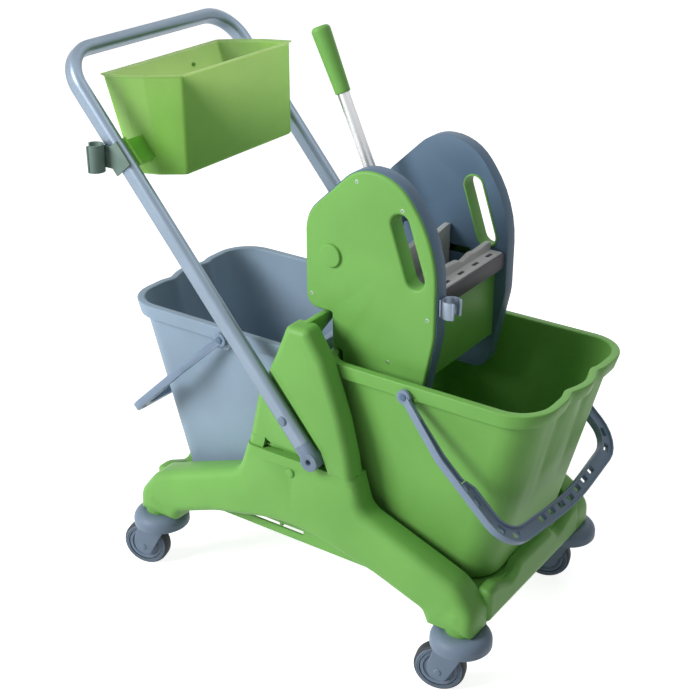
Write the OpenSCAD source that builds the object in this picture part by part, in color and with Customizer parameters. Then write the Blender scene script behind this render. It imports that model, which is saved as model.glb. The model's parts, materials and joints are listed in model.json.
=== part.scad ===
// Double mop bucket trolley: two pails on a four-caster chassis, a jaw wringer over the
// front pail, a tilted push handle with a small bin, and clips for mop handles.
// +X is forward, +Z is up, the far side is +Y, and the floor is Z = 0.

/* [Casters] */
// Half of the distance between the front and the rear caster stems
caster_x = 294; // [280:1:305]
// Half of the distance between the near and the far caster stems
caster_y = 177; // [172:1:182]
// Wheel diameter over the tyre
wheel_d = 80; // [72:1:84]
// Width of the tyre
wheel_w = 22; // [18:1:24]
// Diameter of the wheel's hub, where the tyre sits
hub_d = 60; // [52:1:64]
// Distance of the wheel axle behind the stem
trail = 30; // [28:1:34]
// Diameter of the bumper hood on top of the fork
hood_d = 94; // [90:1:98]
// Height of the hood's lower edge above the wheel
hood_gap = 9; // [1:1:12]
// Height of the hood
hood_h = 24; // [22:1:28]
// Heading of the trailing wheels about the vertical
caster_heading = 197; // [0:1:359]
// Axle diameter
axle_d = 8; // [6:0.5:10]
// Stem diameter
stem_d = 11; // [10:0.5:13]
// Length of the stem inside the foot
stem_len = 40; // [30:1:44]

/* [Chassis] */
// Distance of the rail's outer face from the middle, at the parting line
rail_face = 187; // [185:1:190]
// Distance of the rail's open inner side from the middle
rail_in = 150; // [148:1:154]
// Outward lean of the moulded side faces, in mm per mm of height
side_lean = 0.085; // [0.05:0.005:0.1]
// Height of the parting line between rail and tower
parting_z = 308; // [302:1:309]
// Distance of the tower's outer face from the middle, at the parting line
tower_face = 183; // [180:1:184]
// Distance of the tower's open inner side from the middle
tower_in = 158.5; // [158:0.5:162]
// Height of the tower's top, where the wringer sits
tower_top = 532.4; // [525:0.1:545]
// Wall thickness of rails and towers
side_wall = 3.5; // [2.5:0.1:5]
// Radius along the outer edge of rails and towers
side_edge = 15; // [8:1:16]
// Inner end of the seat on top of each tower, from the middle
seat_in = 92; // [90:1:100]
// Width of the seat on top of each tower
seat_w = 10; // [9:1:12]
// Radius of the boss in the foot around each stem
foot_r = 25; // [22:1:28]
// Length of the foot along the rail
foot_l = 76; // [70:1:80]
// Distance of the foot's outer end from the stem
foot_end = 27; // [24:1:30]
// Top of the tray's floor
floor_z = 160; // [158:1:166]
// Thickness of the tray's floor
floor_t = 6; // [4:0.5:9]
// Lower edge of the tray's side skirts
skirt_z = 133; // [128:1:140]
// Height of the apron's raised middle above the tray's floor
apron_rise = 12; // [8:1:16]
// Depth of the two dips in the apron below its middle
apron_dip = 17; // [8:1:18]
// Thickness of the apron
apron_t = 16; // [12:0.5:18]
// Distance of the apron's outer face from the middle
apron_x = 323; // [323:1:327]

/* [Buckets] */
// Middle between the two buckets
mid_x = 8; // [4:1:12]
// Gap between the two rims
bucket_gap = 22; // [22:1:30]
// Length over the rim
bucket_l = 372; // [360:1:376]
// Width over the rim
bucket_w = 312; // [300:1:313]
// Height of the rim above the floor
rim_z = 475; // [460:1:480]
// Height of the outer band of the rim
rim_h = 22; // [16:1:26]
// How far the rim stands out from the wall
rim_out = 10; // [7:0.5:12]
// Wall thickness
bucket_wall = 3; // [2.5:0.1:4]
// How much the outer end wall comes in from rim to bottom
end_draft = 76; // [72:1:90]
// How much the inner end wall comes in from rim to bottom
inner_draft = 12; // [6:1:20]
// How much each side wall comes in from rim to bottom
side_draft = 18; // [12:1:26]
// Corner radius at the outer end
outer_corner = 52; // [40:1:60]
// Corner radius at the inner end
inner_corner = 40; // [30:1:50]
// Depth of the two kinks beside the pouring lip
kink = 5; // [3:0.5:9]
// How far the pouring lip bulges out
spout = 5; // [2:0.5:8]

/* [Bails] */
// Distance of the bail pivots from the middle between the buckets
bail_x = 168; // [160:1:176]
// Depth of the bail pivots below the rim
bail_drop = 17; // [14:1:18]
// Angle of the hanging bails below the horizontal
bail_hang = 43; // [41:1:46]
// Reach of the bail's grip from its pivots
bail_reach = 279; // [270:1:300]
// Half of the bail's width over the grip
bail_half = 185; // [180:1:190]
// Width of the grip
grip_w = 23; // [18:1:26]
// Thickness of the arms
arm_t = 6; // [5:0.5:7]
// Width of the arms where they have flared out
arm_w = 12; // [10:0.5:14]
// Depth of the groove along the bail's upper side
groove = 4; // [2:0.5:6]
// Depth of the arms and the grip
bail_depth = 12; // [9:0.5:14]
// Diameter of the bail pivots
bail_pin_d = 11; // [8:0.5:12]
// Count of the holes in the grip
grip_holes = 7; // [5:2:7]

/* [Handle] */
// Pivot of the handle, forward of the middle of the chassis
pivot_x = 38; // [32:1:44]
// Height of the handle pivot
pivot_z = 325.1; // [324.5:0.1:330]
// Tilt of the handle back from the vertical
handle_tilt = 39.8; // [39:0.2:41]
// Length from the pivot to the middle of the top bar
handle_len = 712; // [690:1:760]
// Distance of the tubes from the middle
tube_y = 195; // [195:0.5:198]
// Width of the flattened tube
tube_w = 30; // [26:1:32]
// Thickness of the flattened tube
tube_t = 20; // [16:0.5:20]
// Wall of the tube
tube_wall = 1.8; // [1.2:0.1:2.5]
// Radius of the bends, at the middle of the tube
bend_r = 58; // [40:1:70]
// Length of the end cap above the pivot
cap_len = 28; // [24:1:32]
// Diameter of the handle pins
pin_d = 10; // [8:0.5:12]
// Distance of the push buttons above the pivot
button_s = 73; // [66:1:80]
// Diameter of the push buttons
button_d = 15; // [12:0.5:16]
// How far the push buttons stand out
button_out = 3; // [2:0.5:4]
// Thickness of the button's inner flange
button_flange = 2; // [1.5:0.1:2.5]

/* [Basket] */
// Distance of the basket's brackets below the top bar, along the tubes
bracket_drop = 178; // [170:1:190]
// Distance of the basket's front bottom edge below its brackets
basket_drop = 33.4; // [28:0.1:38]
// Height of the basket's front wall
basket_h = 154; // [130:1:160]
// Distance of the basket's front face ahead of its brackets
basket_ahead = 69.8; // [66:0.1:74]
// Depth of the basket at its rim
basket_depth = 161; // [150:1:166]
// Depth of the basket at its bottom
basket_foot = 108; // [95:1:115]
// Half of the basket's width at its front corners
basket_y = 132; // [124:1:134]
// How far the end walls bulge out at the middle
basket_bulge = 12; // [6:1:14]
// Wall of the basket
basket_wall = 2.5; // [2:0.1:3.5]
// Backward slope of the basket's rim and bottom, in degrees
basket_slope = 7; // [4:0.5:9]

/* [Wringer] */
// Distance of the covers' outer faces from the middle
wringer_y = 117.5; // [114:0.5:120]
// Thickness of each side housing with its cover
housing_t = 27.5; // [26:0.5:29]
// Thickness of the outer cover
cover_t = 5; // [4:0.5:6]
// Wall of the inner shells
shell_wall = 3; // [2.5:0.1:3.5]
// How far the shell shows around its cover
shell_rim = 1.5; // [0.5:0.1:2]
// Lever shaft, forward of the middle of the chassis
shaft_x = 20.5; // [18:0.5:23]
// Height of the lever shaft
shaft_z = 625; // [620:0.5:628]
// Diameter of the lever shaft
shaft_d = 16; // [12:0.5:18]
// Radius of the round boss over the shaft's end
boss_r = 18; // [14:1:20]
// How far the round boss stands out
boss_out = 4.5; // [2:0.5:6]
// Half width of the hand slots
slot_r = 12.5; // [10:0.5:13]
// Length of the hand slots between their end centres
slot_len = 80; // [70:1:84]
// Wall of the sleeve that lines the hand slots
sleeve = 2.5; // [1.5:0.1:3]
// Lower edge of the housings
housing_z = 400; // [390:1:420]
// Height of the front cross bar's top
bar_z = 600; // [594:1:606]
// Height of the front cross bar
bar_h = 24; // [18:1:28]
// Rear face of the front cross bar
bar_x = 172; // [170:1:176]
// Depth of the front cross bar
bar_d = 23; // [18:1:24]
// Lower edge of the front wall
wall_z = 462; // [450:1:480]
// Thickness of the front wall
front_wall_t = 4; // [3:0.5:5]
// Thickness of the press jaws
jaw_t = 9; // [7:0.5:12]
// Top of the front jaw above the cross bar
jaw_rise = 14; // [8:1:20]
// Lower edge of both jaws
jaw_z = 520; // [500:1:530]
// Front face of the moving jaw at rest
jaw_x = 100; // [92:1:102]
// Inner diameter of the mop handle clips
clip_d = 23; // [20:0.5:25]
// Wall of the mop handle clips
clip_wall = 2.6; // [2:0.1:3.5]

/* [Lever] */
// Distance of the lever from the middle, towards the far side
lever_y = 40; // [30:1:50]
// Backward lean of the lever at rest
lever_lean = 24.3; // [22:0.1:26]
// Length of the lever from its shaft to the top of the grip
lever_len = 314; // [300:1:340]
// Diameter of the lever tube
lever_d = 19; // [16:0.5:20]
// Length of the grip
grip_len = 104; // [90:1:120]
// Diameter of the grip at its lower end
grip_d0 = 24; // [22:0.5:26]
// Diameter of the grip at its top
grip_d1 = 30; // [26:0.5:34]
// Module of the pinion and the rack
gear_m = 3; // [3:1:3]
// Teeth of each pinion
gear_teeth = 16; // [14:2:16]
// Width of the pinions and the racks
gear_w = 10; // [8:0.5:11]

/* [Fits] */
// Running clearance on the radius of pins and shafts
run = 0.06; // [0.02:0.01:0.1]
// Clearance on the radius of a seat that does not turn
seat = 0.02; // [0.01:0.01:0.05]
// Clearance between faces that pass each other
gap = 0.3; // [0.2:0.05:0.5]
// Backlash of the teeth on each flank
backlash = 0.2; // [0.15:0.01:0.35]

/* [Hidden] */
$fn = 64;
green = "#6cb52d";
grey = "#8f9dab";
dark = "#5d6670";
silver = "#c9ced3";
cream = "#ddd8cc";
black = "#3a3d42";

CASTERS = [["rn", -1, -1], ["fn", 1, -1], ["ff", 1, 1], ["rf", -1, 1]];

// Heights that follow from the wheels
axle_z = wheel_d / 2;
hood_z = wheel_d + hood_gap;
hood_top = hood_z + hood_h;
hood_plate = 8;
foot_z = hood_top + 1;
// Bails
bail_z = rim_z - bail_drop;
bail_y = bucket_w / 2 + 1.2;
// Wringer
shell_in = wringer_y - housing_t;
cover_in = wringer_y - cover_t;
seat_z = tower_top + 2 * gap + shell_rim;
pitch_r = gear_m * gear_teeth / 2;
lever_turn = 80;
jaw_travel = pitch_r * lever_turn * PI / 180;
rack_z = shaft_z + pitch_r + backlash;
rack_top = rack_z + gear_m * 1.25 + 11;
rack_y = (shell_in + shell_wall + cover_in) / 2;
slot_top = [137, 695];
slot_dir = [0.324, -0.946];
// Push buttons
button_x = pivot_x - button_s * sin(handle_tilt);
button_z = pivot_z + button_s * cos(handle_tilt);
rail_button_x = -8;
rail_button_z = parting_z - 24;

// Outlines: a list of corners [x, y, radius], counter-clockwise
function flat(p) = [p.x, p.y];
function unit(v) = v / norm(v);
function turn_arc(m, s, e, n) =
    let (a = atan2(s.y - m.y, s.x - m.x), b = atan2(e.y - m.y, e.x - m.x), r = norm(s - m))
    let (sweep = b - a > 180 ? b - a - 360 : b - a < -180 ? b - a + 360 : b - a)
    [for (k = [0 : n]) m + r * [cos(a + sweep * k / n), sin(a + sweep * k / n)]];
function corner(a, b, c, n) =
    let (u = unit(flat(a) - flat(b)), v = unit(flat(c) - flat(b)))
    let (half = acos(max(-1, min(1, u * v))) / 2, reach = b[2] / tan(half))
    b[2] == 0 ? [flat(b)]
    : turn_arc(flat(b) + unit(u + v) * b[2] / sin(half), flat(b) + u * reach, flat(b) + v * reach, n);
function rounded(c, n = 6) =
    let (k = len(c))
    [for (i = [0 : k - 1]) each corner(c[(i + k - 1) % k], c[i], c[(i + 1) % k], n)];
// The same outline moved inwards by d, with its radii following
function inset(c, d) =
    let (k = len(c))
    [for (i = [0 : k - 1])
        let (p = flat(c[(i + k - 1) % k]), q = flat(c[i]), r = flat(c[(i + 1) % k]))
        let (e = unit(q - p), f = unit(r - q), m = [-e.y, e.x], n = [-f.y, f.x])
        let (s = q + d * (m + n) / (1 + m * n), grown = c[i][2] - d * sign(cross(e, f)))
        [s.x, s.y, c[i][2] == 0 ? 0 : max(grown, 0.4)]];

// Triangles across a flat ring, zipped between its two sides from its lowest point up
function turn(p, q, r) = cross(q - p, r - p);
function zip(r, i, j) =
    let (n = len(r), a = (i + 1) % n, b = (j + n - 1) % n)
    let (right = turn(r[i], r[a], r[j]), left = turn(r[i], r[b], r[j]))
    let (shorter = norm(r[a] - r[j]) < norm(r[i] - r[b]))
    a == j ? []
    : left <= 0 || (right > 0 && shorter) ? concat([[i, a, j]], zip(r, a, j))
    : concat([[i, b, j]], zip(r, i, b));
function cap(r) =
    let (n = len(r), heights = [for (p = r) p.y], first = search(min(heights), heights)[0])
    let (a = (first + 1) % n, b = (first + n - 1) % n)
    concat([[first, a, b]], zip(r, a, b));

// Closed skin through rings of equal length, with a cap on the first and the last
module loft(rings, plane = [0, 1]) {
    n = len(rings[0]);
    last = len(rings) - 1;
    sides = [for (k = [0 : last - 1]) for (i = [0 : n - 1])
        let (j = (i + 1) % n)
        each [[k * n + i, (k + 1) * n + i, (k + 1) * n + j], [k * n + i, (k + 1) * n + j, k * n + j]]];
    low = cap([for (p = rings[0]) [p[plane[0]], p[plane[1]]]]);
    top = cap([for (p = rings[last]) [p[plane[0]], p[plane[1]]]]);
    high = [for (f = top) [for (i = [2 : -1 : 0]) last * n + f[i]]];
    polyhedron([for (r = rings) each r], concat(low, sides, high));
}
// A ring in a side face: the outline stands in X and Z, at distance y on the near side
function side_ring(c, y, lean = 0) =
    [for (p = rounded(c)) [p.x, -y + lean * (p.y - parting_z), p.y]];
// An open moulded shell on the near side, from its open inner rim to its rounded outer face
module side_shell(c, y_in, y_face, lean) {
    inner = side_edge - side_wall;
    loft(concat(
        [for (a = [90, 45, 0])
            side_ring(inset(c, side_edge - inner * cos(a)), y_face - side_edge + inner * sin(a), lean)],
        [side_ring(inset(c, side_wall), y_in)],
        [side_ring(c, y_in)],
        [for (a = [0, 30, 60, 90])
            side_ring(inset(c, side_edge * (1 - cos(a))), y_face - side_edge * (1 - sin(a)), lean)]
    ), [0, 2]);
}
module far() { mirror([0, 1, 0]) children(); }
// Extrudes a side outline from distance y0 to y1 on the near side
module side_plate(y0, y1) { translate([0, -y0, 0]) rotate([90, 0, 0]) linear_extrude(y1 - y0) children(); }
module side_rod(x, z, y0, y1, d) {
    translate([x, -y0, z]) rotate([90, 0, 0]) cylinder(d = d, h = y1 - y0);
}

// Chassis
rail_end = caster_x + foot_end;
foot_in = rail_end - foot_l;
rail_outline = [
    [-rail_end, foot_z, 4], [-foot_in, foot_z, 4], [-foot_in + 10, foot_z + 20, 14],
    [-160, 162, 150], [-4, 198, 300], [150, 162, 150],
    [foot_in - 10, foot_z + 20, 14], [foot_in, foot_z, 4], [rail_end, foot_z, 4],
    [rail_end, 150, 34], [rail_end - 30, 190, 60], [120, 254, 34], [104, parting_z, 0],
    [-97, parting_z, 0], [-114, 254, 34], [-rail_end + 30, 190, 60], [-rail_end, 150, 34]
];
tower_outline = [
    [-97, parting_z + gap, 0], [104, parting_z + gap, 0], [99, 340, 60], [85, 400, 160], [54, 487, 60],
    [mid_x + 18, tower_top - 0.5, 12], [mid_x - 18, tower_top - 0.5, 12], [-42, 468, 60], [-76, 400, 120]
];

module foot_boss() {
    boss_h = 46;
    crown = 16;
    rotate_extrude() {
        translate([0, -0.5]) square([foot_r, boss_h - crown + 0.5]);
        square([foot_r - crown, boss_h]);
        translate([foot_r - crown, boss_h - crown]) intersection() {
            circle(r = crown);
            square(crown);
        }
    }
}
module rail() {
    color(green) difference() {
        union() {
            side_shell(rail_outline, rail_in, rail_face, side_lean);
            for (s = [-1, 1]) translate([s * caster_x, -caster_y, foot_z]) foot_boss();
        }
        for (s = [-1, 1]) translate([s * caster_x, -caster_y, foot_z - 1])
            cylinder(d = stem_d + 2 * seat, h = stem_len + 1);
        side_rod(rail_button_x, rail_button_z, rail_in, rail_face + 10, button_d + 2 * run);
        translate([0, 0, -1]) tongue(gap, 6);
    }
}

// Plane that the handle tube rests against
rest_y = tube_y - tube_t / 2 - gap;
// Radius of the round edge above the opening in the tower, about the push button
arc_r = 73;
// How far the fin beside the tube stands out
fin_out = 9;
fin_edge = 6;
tongue_t = 4;
tongue_w = 48;
tongue_y = rail_face - side_wall - 14;
// Tongue that drops into the rail behind the snap button, grown by a clearance
module tongue(grow, extra) {
    translate([rail_button_x - tongue_w / 2 - grow, -tongue_y - tongue_t - grow, rail_button_z - 18])
        cube([tongue_w + 2 * grow, tongue_t + 2 * grow, parting_z - rail_button_z + 20 + extra]);
}
// Point beside the handle tube: s along it from the pivot, d in front of its middle
function beside_tube(s, d) = [pivot_x - s * sin(handle_tilt) + d * cos(handle_tilt),
    pivot_z + s * cos(handle_tilt) + d * sin(handle_tilt)];
module tower_fin() {
    d = tube_w / 2 + 3;
    low = beside_tube(4, d);
    high = beside_tube(148, d);
    outline = [
        [low.x + 10, parting_z + 5, 3], [98, parting_z + 5, 4], [94, 342, 60], [81, 400, 160], [50, 484, 60],
        [mid_x + 14, tower_top - 4, 12], [mid_x - 14, tower_top - 4, 12], [high.x + 3, high.y + 8, 10],
        [high.x, high.y, 6], [low.x, low.y, 14]
    ];
    loft(concat(
        [side_ring(outline, tower_face - side_wall / 2)],
        [for (a = [0, 30, 60, 90]) side_ring(inset(outline, fin_edge * (1 - cos(a))),
            tower_face + fin_out - fin_edge * (1 - sin(a)))]
    ), [0, 2]);
}

module tower_ribs() {
    ribs = 4;
    rib_t = 3;
    step = (tower_top - parting_z) / (ribs + 1);
    intersection() {
        side_plate(tower_in + 1, tower_face - side_edge - 1) polygon(rounded(inset(tower_outline, side_wall / 2)));
        for (i = [1 : ribs]) translate([-rail_end, -tower_face, parting_z + i * step])
            cube([2 * rail_end, tower_face, rib_t]);
    }
}
// Shelf that runs inwards above the bucket rims and carries the wringer
module tower_seat() {
    plate = 6;
    depth = 34;
    back = tower_in + 6;
    translate([mid_x - seat_w / 2, -back, tower_top - plate]) cube([seat_w, back - seat_in, plate]);
    for (x = [-seat_w / 2 + 0.5, -1.5, seat_w / 2 - 3.5])
        translate([mid_x + x, 0, 0]) rotate([90, 0, 90]) linear_extrude(3) polygon([
            [-back + 1, tower_top - depth], [-tower_in + 8, tower_top - depth],
            [-seat_in - 1, tower_top - plate - 4], [-seat_in - 1, tower_top - 1], [-back + 1, tower_top - 1]
        ]);
    for (y = [tower_in - 14, tower_in - 34])
        translate([mid_x - seat_w / 2 + 1, -y, tower_top - depth + 12]) cube([seat_w - 2, 3, depth - 13]);
}
module tower() {
    color(green) difference() {
        union() {
            side_shell(tower_outline, tower_in, tower_face, 0);
            tower_ribs();
            tower_seat();
            tower_fin();
            side_rod(pivot_x, pivot_z, tower_in + 1, rest_y, 27);
            tongue(0, 0);
        }
        side_rod(pivot_x, pivot_z, tower_in - 1, rest_y + 1, pin_d + 2 * seat);
        // Opening under the round edge
        side_plate(tower_face - side_wall - 4, tower_face + 1) difference() {
            polygon([[-65, parting_z + 4], [18, parting_z + 4], [18, 331], [-58, 331]]);
            translate([button_x, button_z]) circle(r = arc_r);
        }
    }
}
module handle_pins() {
    color(silver) for (s = [0, 1]) mirror([0, s, 0])
        side_rod(pivot_x, pivot_z, tower_in + 1, tube_y + tube_t / 2 - 6, pin_d);
}

tray_y = rail_in;
apron_wall = apron_x - apron_t;
// Apron: a raised middle between two dips, in steps towards its rounded outer face
apron_ends = tray_y - 1;
apron_top = floor_z + apron_rise;
apron_low = apron_top - apron_dip;
apron_outline = [
    [-apron_ends, foot_z + 3, 6], [apron_ends, foot_z + 3, 6], [apron_ends, apron_top, 6],
    [apron_ends - 22, apron_top, 14], [apron_ends - 40, apron_low, 12], [apron_ends - 74, apron_low, 12],
    [apron_ends - 96, apron_top, 14], [-apron_ends + 96, apron_top, 14], [-apron_ends + 74, apron_low, 12],
    [-apron_ends + 40, apron_low, 12], [-apron_ends + 22, apron_top, 14], [-apron_ends, apron_top, 6]
];
module apron() {
    edge = apron_t / 2;
    translate([apron_wall, 0, 0]) rotate([90, 0, 90]) for (a = [0, 30, 60, 90])
        linear_extrude(apron_t - edge * (1 - sin(a)))
            polygon(rounded(inset(apron_outline, 0.7 * edge * (1 - cos(a)))));
}
module base_tray() {
    slots = 5;
    slot_w = 16;
    slot_l = 190;
    pitch = 46;
    color(green) difference() {
        union() {
            translate([-apron_wall - 3, -tray_y, floor_z - floor_t])
                cube([2 * apron_wall + 6, 2 * tray_y, floor_t]);
            for (s = [-1, 1]) translate([0, s * (tray_y - 2) + 2, 0]) rotate([90, 0, 0]) linear_extrude(4)
                difference() {
                    polygon([[-214, floor_z - 1], [-196, skirt_z], [118, skirt_z], [150, floor_z - 1]]);
                    polygon([[-150, 146], [-14, 146], [-14, floor_z - floor_t], [-128, floor_z - floor_t]]);
                }
            for (x = [-1, 1]) translate([x * 60 - 2, -tray_y + 1, skirt_z + 14])
                cube([4, 2 * tray_y - 2, floor_z - skirt_z - 15]);
            for (s = [0, 1]) mirror([s, 0, 0]) apron();
        }
        for (s = [-1, 1]) for (i = [0 : slots - 1])
            translate([mid_x + s * 170, (i - (slots - 1) / 2) * pitch, floor_z - floor_t - 1])
                linear_extrude(floor_t + 2) {
                    square([slot_l - slot_w, slot_w], center = true);
                    for (e = [-1, 1]) translate([e * (slot_l - slot_w) / 2, 0]) circle(d = slot_w);
                }
    }
}

// Casters: in each caster's own frame the stem is the origin and the wheel trails along +X
module at_caster(c) {
    translate([c[1] * caster_x, c[2] * caster_y, 0]) rotate([0, 0, caster_heading]) children();
}
cheek_in = wheel_w / 2 + 3.5;
cheek_t = 4;
module fork() {
    skirt = 4;
    shoulder = hood_h - 8;
    r = hood_d / 2;
    color(grey) difference() {
        union() {
            rotate_extrude() difference() {
                union() {
                    translate([0, hood_z]) square([r, hood_h - shoulder]);
                    translate([0, hood_top - shoulder]) square([r - shoulder, shoulder]);
                    translate([r - shoulder, hood_top - shoulder]) intersection() {
                        circle(r = shoulder);
                        square(shoulder);
                    }
                }
                translate([0, hood_z - 1]) square([r - skirt, 1 + hood_h - shoulder]);
                translate([0, hood_z - 1]) square([r - skirt - shoulder + 4, 1 + hood_h - hood_plate]);
            }
            for (s = [0, 1]) mirror([0, s, 0]) translate([0, cheek_in + cheek_t, 0]) rotate([90, 0, 0])
                linear_extrude(cheek_t) polygon(rounded([
                    [-16, hood_top - hood_plate + 1, 0], [4, axle_z + 20, 30], [trail - 11, axle_z - 11, 10],
                    [trail + 11, axle_z - 11, 10], [trail + 12, axle_z + 12, 12], [24, hood_top - hood_plate + 1, 0]
                ]));
        }
        translate([0, 0, hood_z]) cylinder(d = stem_d + 2 * run, h = hood_h + 1);
        translate([trail, 0, axle_z]) rotate([90, 0, 0])
            cylinder(d = axle_d + 2 * seat, h = 4 * wheel_w, center = true);
    }
}
module axle() {
    head = 2.5;
    grip = cheek_in + cheek_t;
    color(silver) translate([trail, 0, axle_z]) rotate([90, 0, 0]) {
        cylinder(d = axle_d, h = 2 * grip, center = true);
        for (s = [0, 1]) mirror([0, 0, s]) translate([0, 0, grip])
            cylinder(d1 = 1.7 * axle_d, d2 = 1.2 * axle_d, h = head);
    }
}
module hub() {
    ring = 3;
    web = wheel_w / 2 - 3;
    color(grey) translate([trail, 0, axle_z]) rotate([90, 0, 0]) difference() {
        union() {
            cylinder(d = hub_d, h = 2 * web, center = true);
            difference() {
                cylinder(d = hub_d, h = wheel_w - 2, center = true);
                cylinder(d = hub_d - 4 * ring, h = wheel_w, center = true);
            }
            cylinder(d = 20, h = 2 * (cheek_in - gap), center = true);
        }
        cylinder(d = axle_d + 2 * run, h = 2 * wheel_w, center = true);
    }
}
module tyre() {
    crown = 6;
    color(black) translate([trail, 0, axle_z]) rotate([90, 0, 0]) rotate_extrude() difference() {
        union() {
            translate([hub_d / 2 + seat, -wheel_w / 2])
                square([wheel_d / 2 - crown - hub_d / 2 - seat, wheel_w]);
            translate([wheel_d / 2 - crown, -wheel_w / 2 + crown]) square([crown, wheel_w - 2 * crown]);
            for (s = [-1, 1]) translate([wheel_d / 2 - crown, s * (wheel_w / 2 - crown)]) circle(r = crown);
        }
        translate([0, -wheel_w]) square([hub_d / 2 + seat, 2 * wheel_w]);
    }
}
module caster_stems() {
    head = 4;
    color(silver) for (c = CASTERS) translate([c[1] * caster_x, c[2] * caster_y, 0]) {
        low = hood_top - hood_plate - gap - head;
        translate([0, 0, low]) cylinder(d = 1.7 * stem_d, h = head);
        translate([0, 0, low]) cylinder(d = stem_d, h = foot_z + stem_len - gap - low);
    }
}

// Push buttons and their springs, drawn on the near side along -Y from an inner flange at y
module push_button(x, z, y, out) {
    crown = 1.5;
    color(grey) translate([x, -y, z]) rotate([90, 0, 0]) {
        cylinder(d = button_d + 4, h = button_flange);
        cylinder(d = button_d, h = out - y - crown);
        translate([0, 0, out - y - crown]) cylinder(d1 = button_d, d2 = button_d - 2 * crown, h = crown);
    }
}
// A coil spring along -Y: one tube swept round a helix, with square ends
module coil(x, z, y0, y1, d, turns) {
    wire = 1.4;
    sides = 6;
    steps = 10;
    n = turns * steps;
    run_y = y1 - y0 - wire;
    rings = [for (k = [0 : n])
        let (a = 360 * k / steps, y = -y0 - wire / 2 - run_y * k / n)
        [for (i = [0 : sides - 1])
            let (b = 360 * i / sides, r = d / 2 - wire / 2 + wire / 2 * cos(b))
            [x + r * cos(a), y + wire / 2 * sin(b), z + r * sin(a)]]];
    color(silver) loft(rings);
}
tube_out = tube_y + tube_t / 2;
tube_room = tube_y - tube_t / 2 + tube_wall;
handle_flange = tube_out - tube_wall - button_flange - gap - 2;
rail_flange = rail_face - side_wall - button_flange - gap + 0.9;
module handle_button() { push_button(button_x, button_z, handle_flange, tube_out + button_out); }
module handle_spring() { coil(button_x, button_z, tube_room, handle_flange, button_d - 2, 4); }
module rail_button() {
    push_button(rail_button_x, rail_button_z, rail_flange, rail_face + side_lean * 24 + button_out);
}
module rail_spring() {
    coil(rail_button_x, rail_button_z, tongue_y + tongue_t, rail_flange, button_d - 2, 3);
}

// Handle: in its own frame the pivot is the origin and the tubes run along +Z
module at_handle() { translate([pivot_x, 0, pivot_z]) rotate([0, -handle_tilt, 0]) children(); }
module tube_section(cut) {
    flat_w = tube_w - tube_t;
    square([flat_w, tube_t - 2 * cut], center = true);
    for (s = [-1, 1]) translate([s * flat_w / 2, 0]) circle(d = tube_t - 2 * cut);
}
module tube_ring() { difference() { tube_section(0); tube_section(tube_wall); } }
module handle_tube() {
    leg = handle_len - bend_r - cap_len;
    bar = 2 * (tube_y - bend_r);
    color(grey) difference() {
        at_handle() {
            for (s = [-1, 1]) translate([0, s * tube_y, cap_len]) linear_extrude(leg) tube_ring();
            for (s = [0, 1]) mirror([0, s, 0]) translate([0, tube_y - bend_r, handle_len - bend_r])
                rotate([90, 0, 90]) rotate_extrude(angle = 90) translate([bend_r, 0]) rotate(90) tube_ring();
            translate([0, bar / 2, handle_len]) rotate([90, 0, 0]) linear_extrude(bar) tube_ring();
        }
        for (s = [0, 1]) mirror([0, s, 0])
            side_rod(button_x, button_z, tube_y, tube_out + 1, button_d + 2 * run);
    }
}
module end_cap() {
    plug = 26;
    color(grey) difference() {
        at_handle() translate([0, -tube_y, 0]) {
            rotate([90, 0, 0]) cylinder(d = tube_w, h = tube_t, center = true);
            linear_extrude(cap_len - 0.2) tube_section(0);
            linear_extrude(cap_len + plug) tube_section(tube_wall + seat);
        }
        side_rod(pivot_x, pivot_z, tube_y - tube_t, tube_y + tube_t, pin_d + 2 * run);
    }
}

// Basket: a bin with bulging end walls, a sloping rim and bottom and a leaning back
bracket_s = handle_len - bracket_drop;
bracket_x = pivot_x - bracket_s * sin(handle_tilt);
bracket_z = pivot_z + bracket_s * cos(handle_tilt);
basket_x = bracket_x + basket_ahead;
basket_z = bracket_z - basket_drop;
basket_lip = 4;
function basket_ring(x, depth, z, d) =
    let (back = x - depth, middle = (x + back) / 2, fall = tan(basket_slope))
    [for (p = [
        [x - d, -basket_y + d], [x - d, basket_y - d], [middle, basket_y + basket_bulge - d],
        [back + d, basket_y + basket_bulge / 2 - d], [back + d, -basket_y - basket_bulge / 2 + d],
        [middle, -basket_y - basket_bulge + d]
    ]) [p.x, p.y, z + fall * (p.x - x)]];
module basket() {
    lip = basket_lip;
    rim = basket_z + basket_h;
    color(green) loft([
        basket_ring(basket_x, basket_foot, basket_z, 0),
        basket_ring(basket_x, basket_depth - lip, rim - 6, 0),
        basket_ring(basket_x + lip, basket_depth + lip, rim - 3, -lip),
        basket_ring(basket_x + lip, basket_depth + lip, rim, -lip),
        basket_ring(basket_x, basket_depth - lip, rim, basket_wall),
        basket_ring(basket_x, basket_foot, basket_z + basket_wall, basket_wall)
    ]);
}
// Arm from the tube to the basket's end wall, turned with the tube
module basket_bracket() {
    inner = basket_y + basket_bulge / 2 - 1;
    wall = tube_y - tube_t / 2 - gap;
    color(dark) difference() {
        at_handle() translate([0, 0, bracket_s]) {
            translate([-9, -wall, -20]) cube([18, wall - inner, 40]);
            translate([-14, -wall, -24]) cube([28, 4, 48]);
        }
        basket_block();
    }
}
// The solid space of the basket, grown by a clearance
module basket_block() {
    grow = 1;
    depth = basket_depth - basket_lip + 2 * grow;
    rim = basket_z + basket_h;
    loft([
        basket_ring(basket_x + grow, basket_foot + 2 * grow, basket_z - grow, -grow),
        basket_ring(basket_x + grow, depth, rim - 6, -grow),
        basket_ring(basket_x + grow, depth, rim, -grow)
    ]);
}

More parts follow.
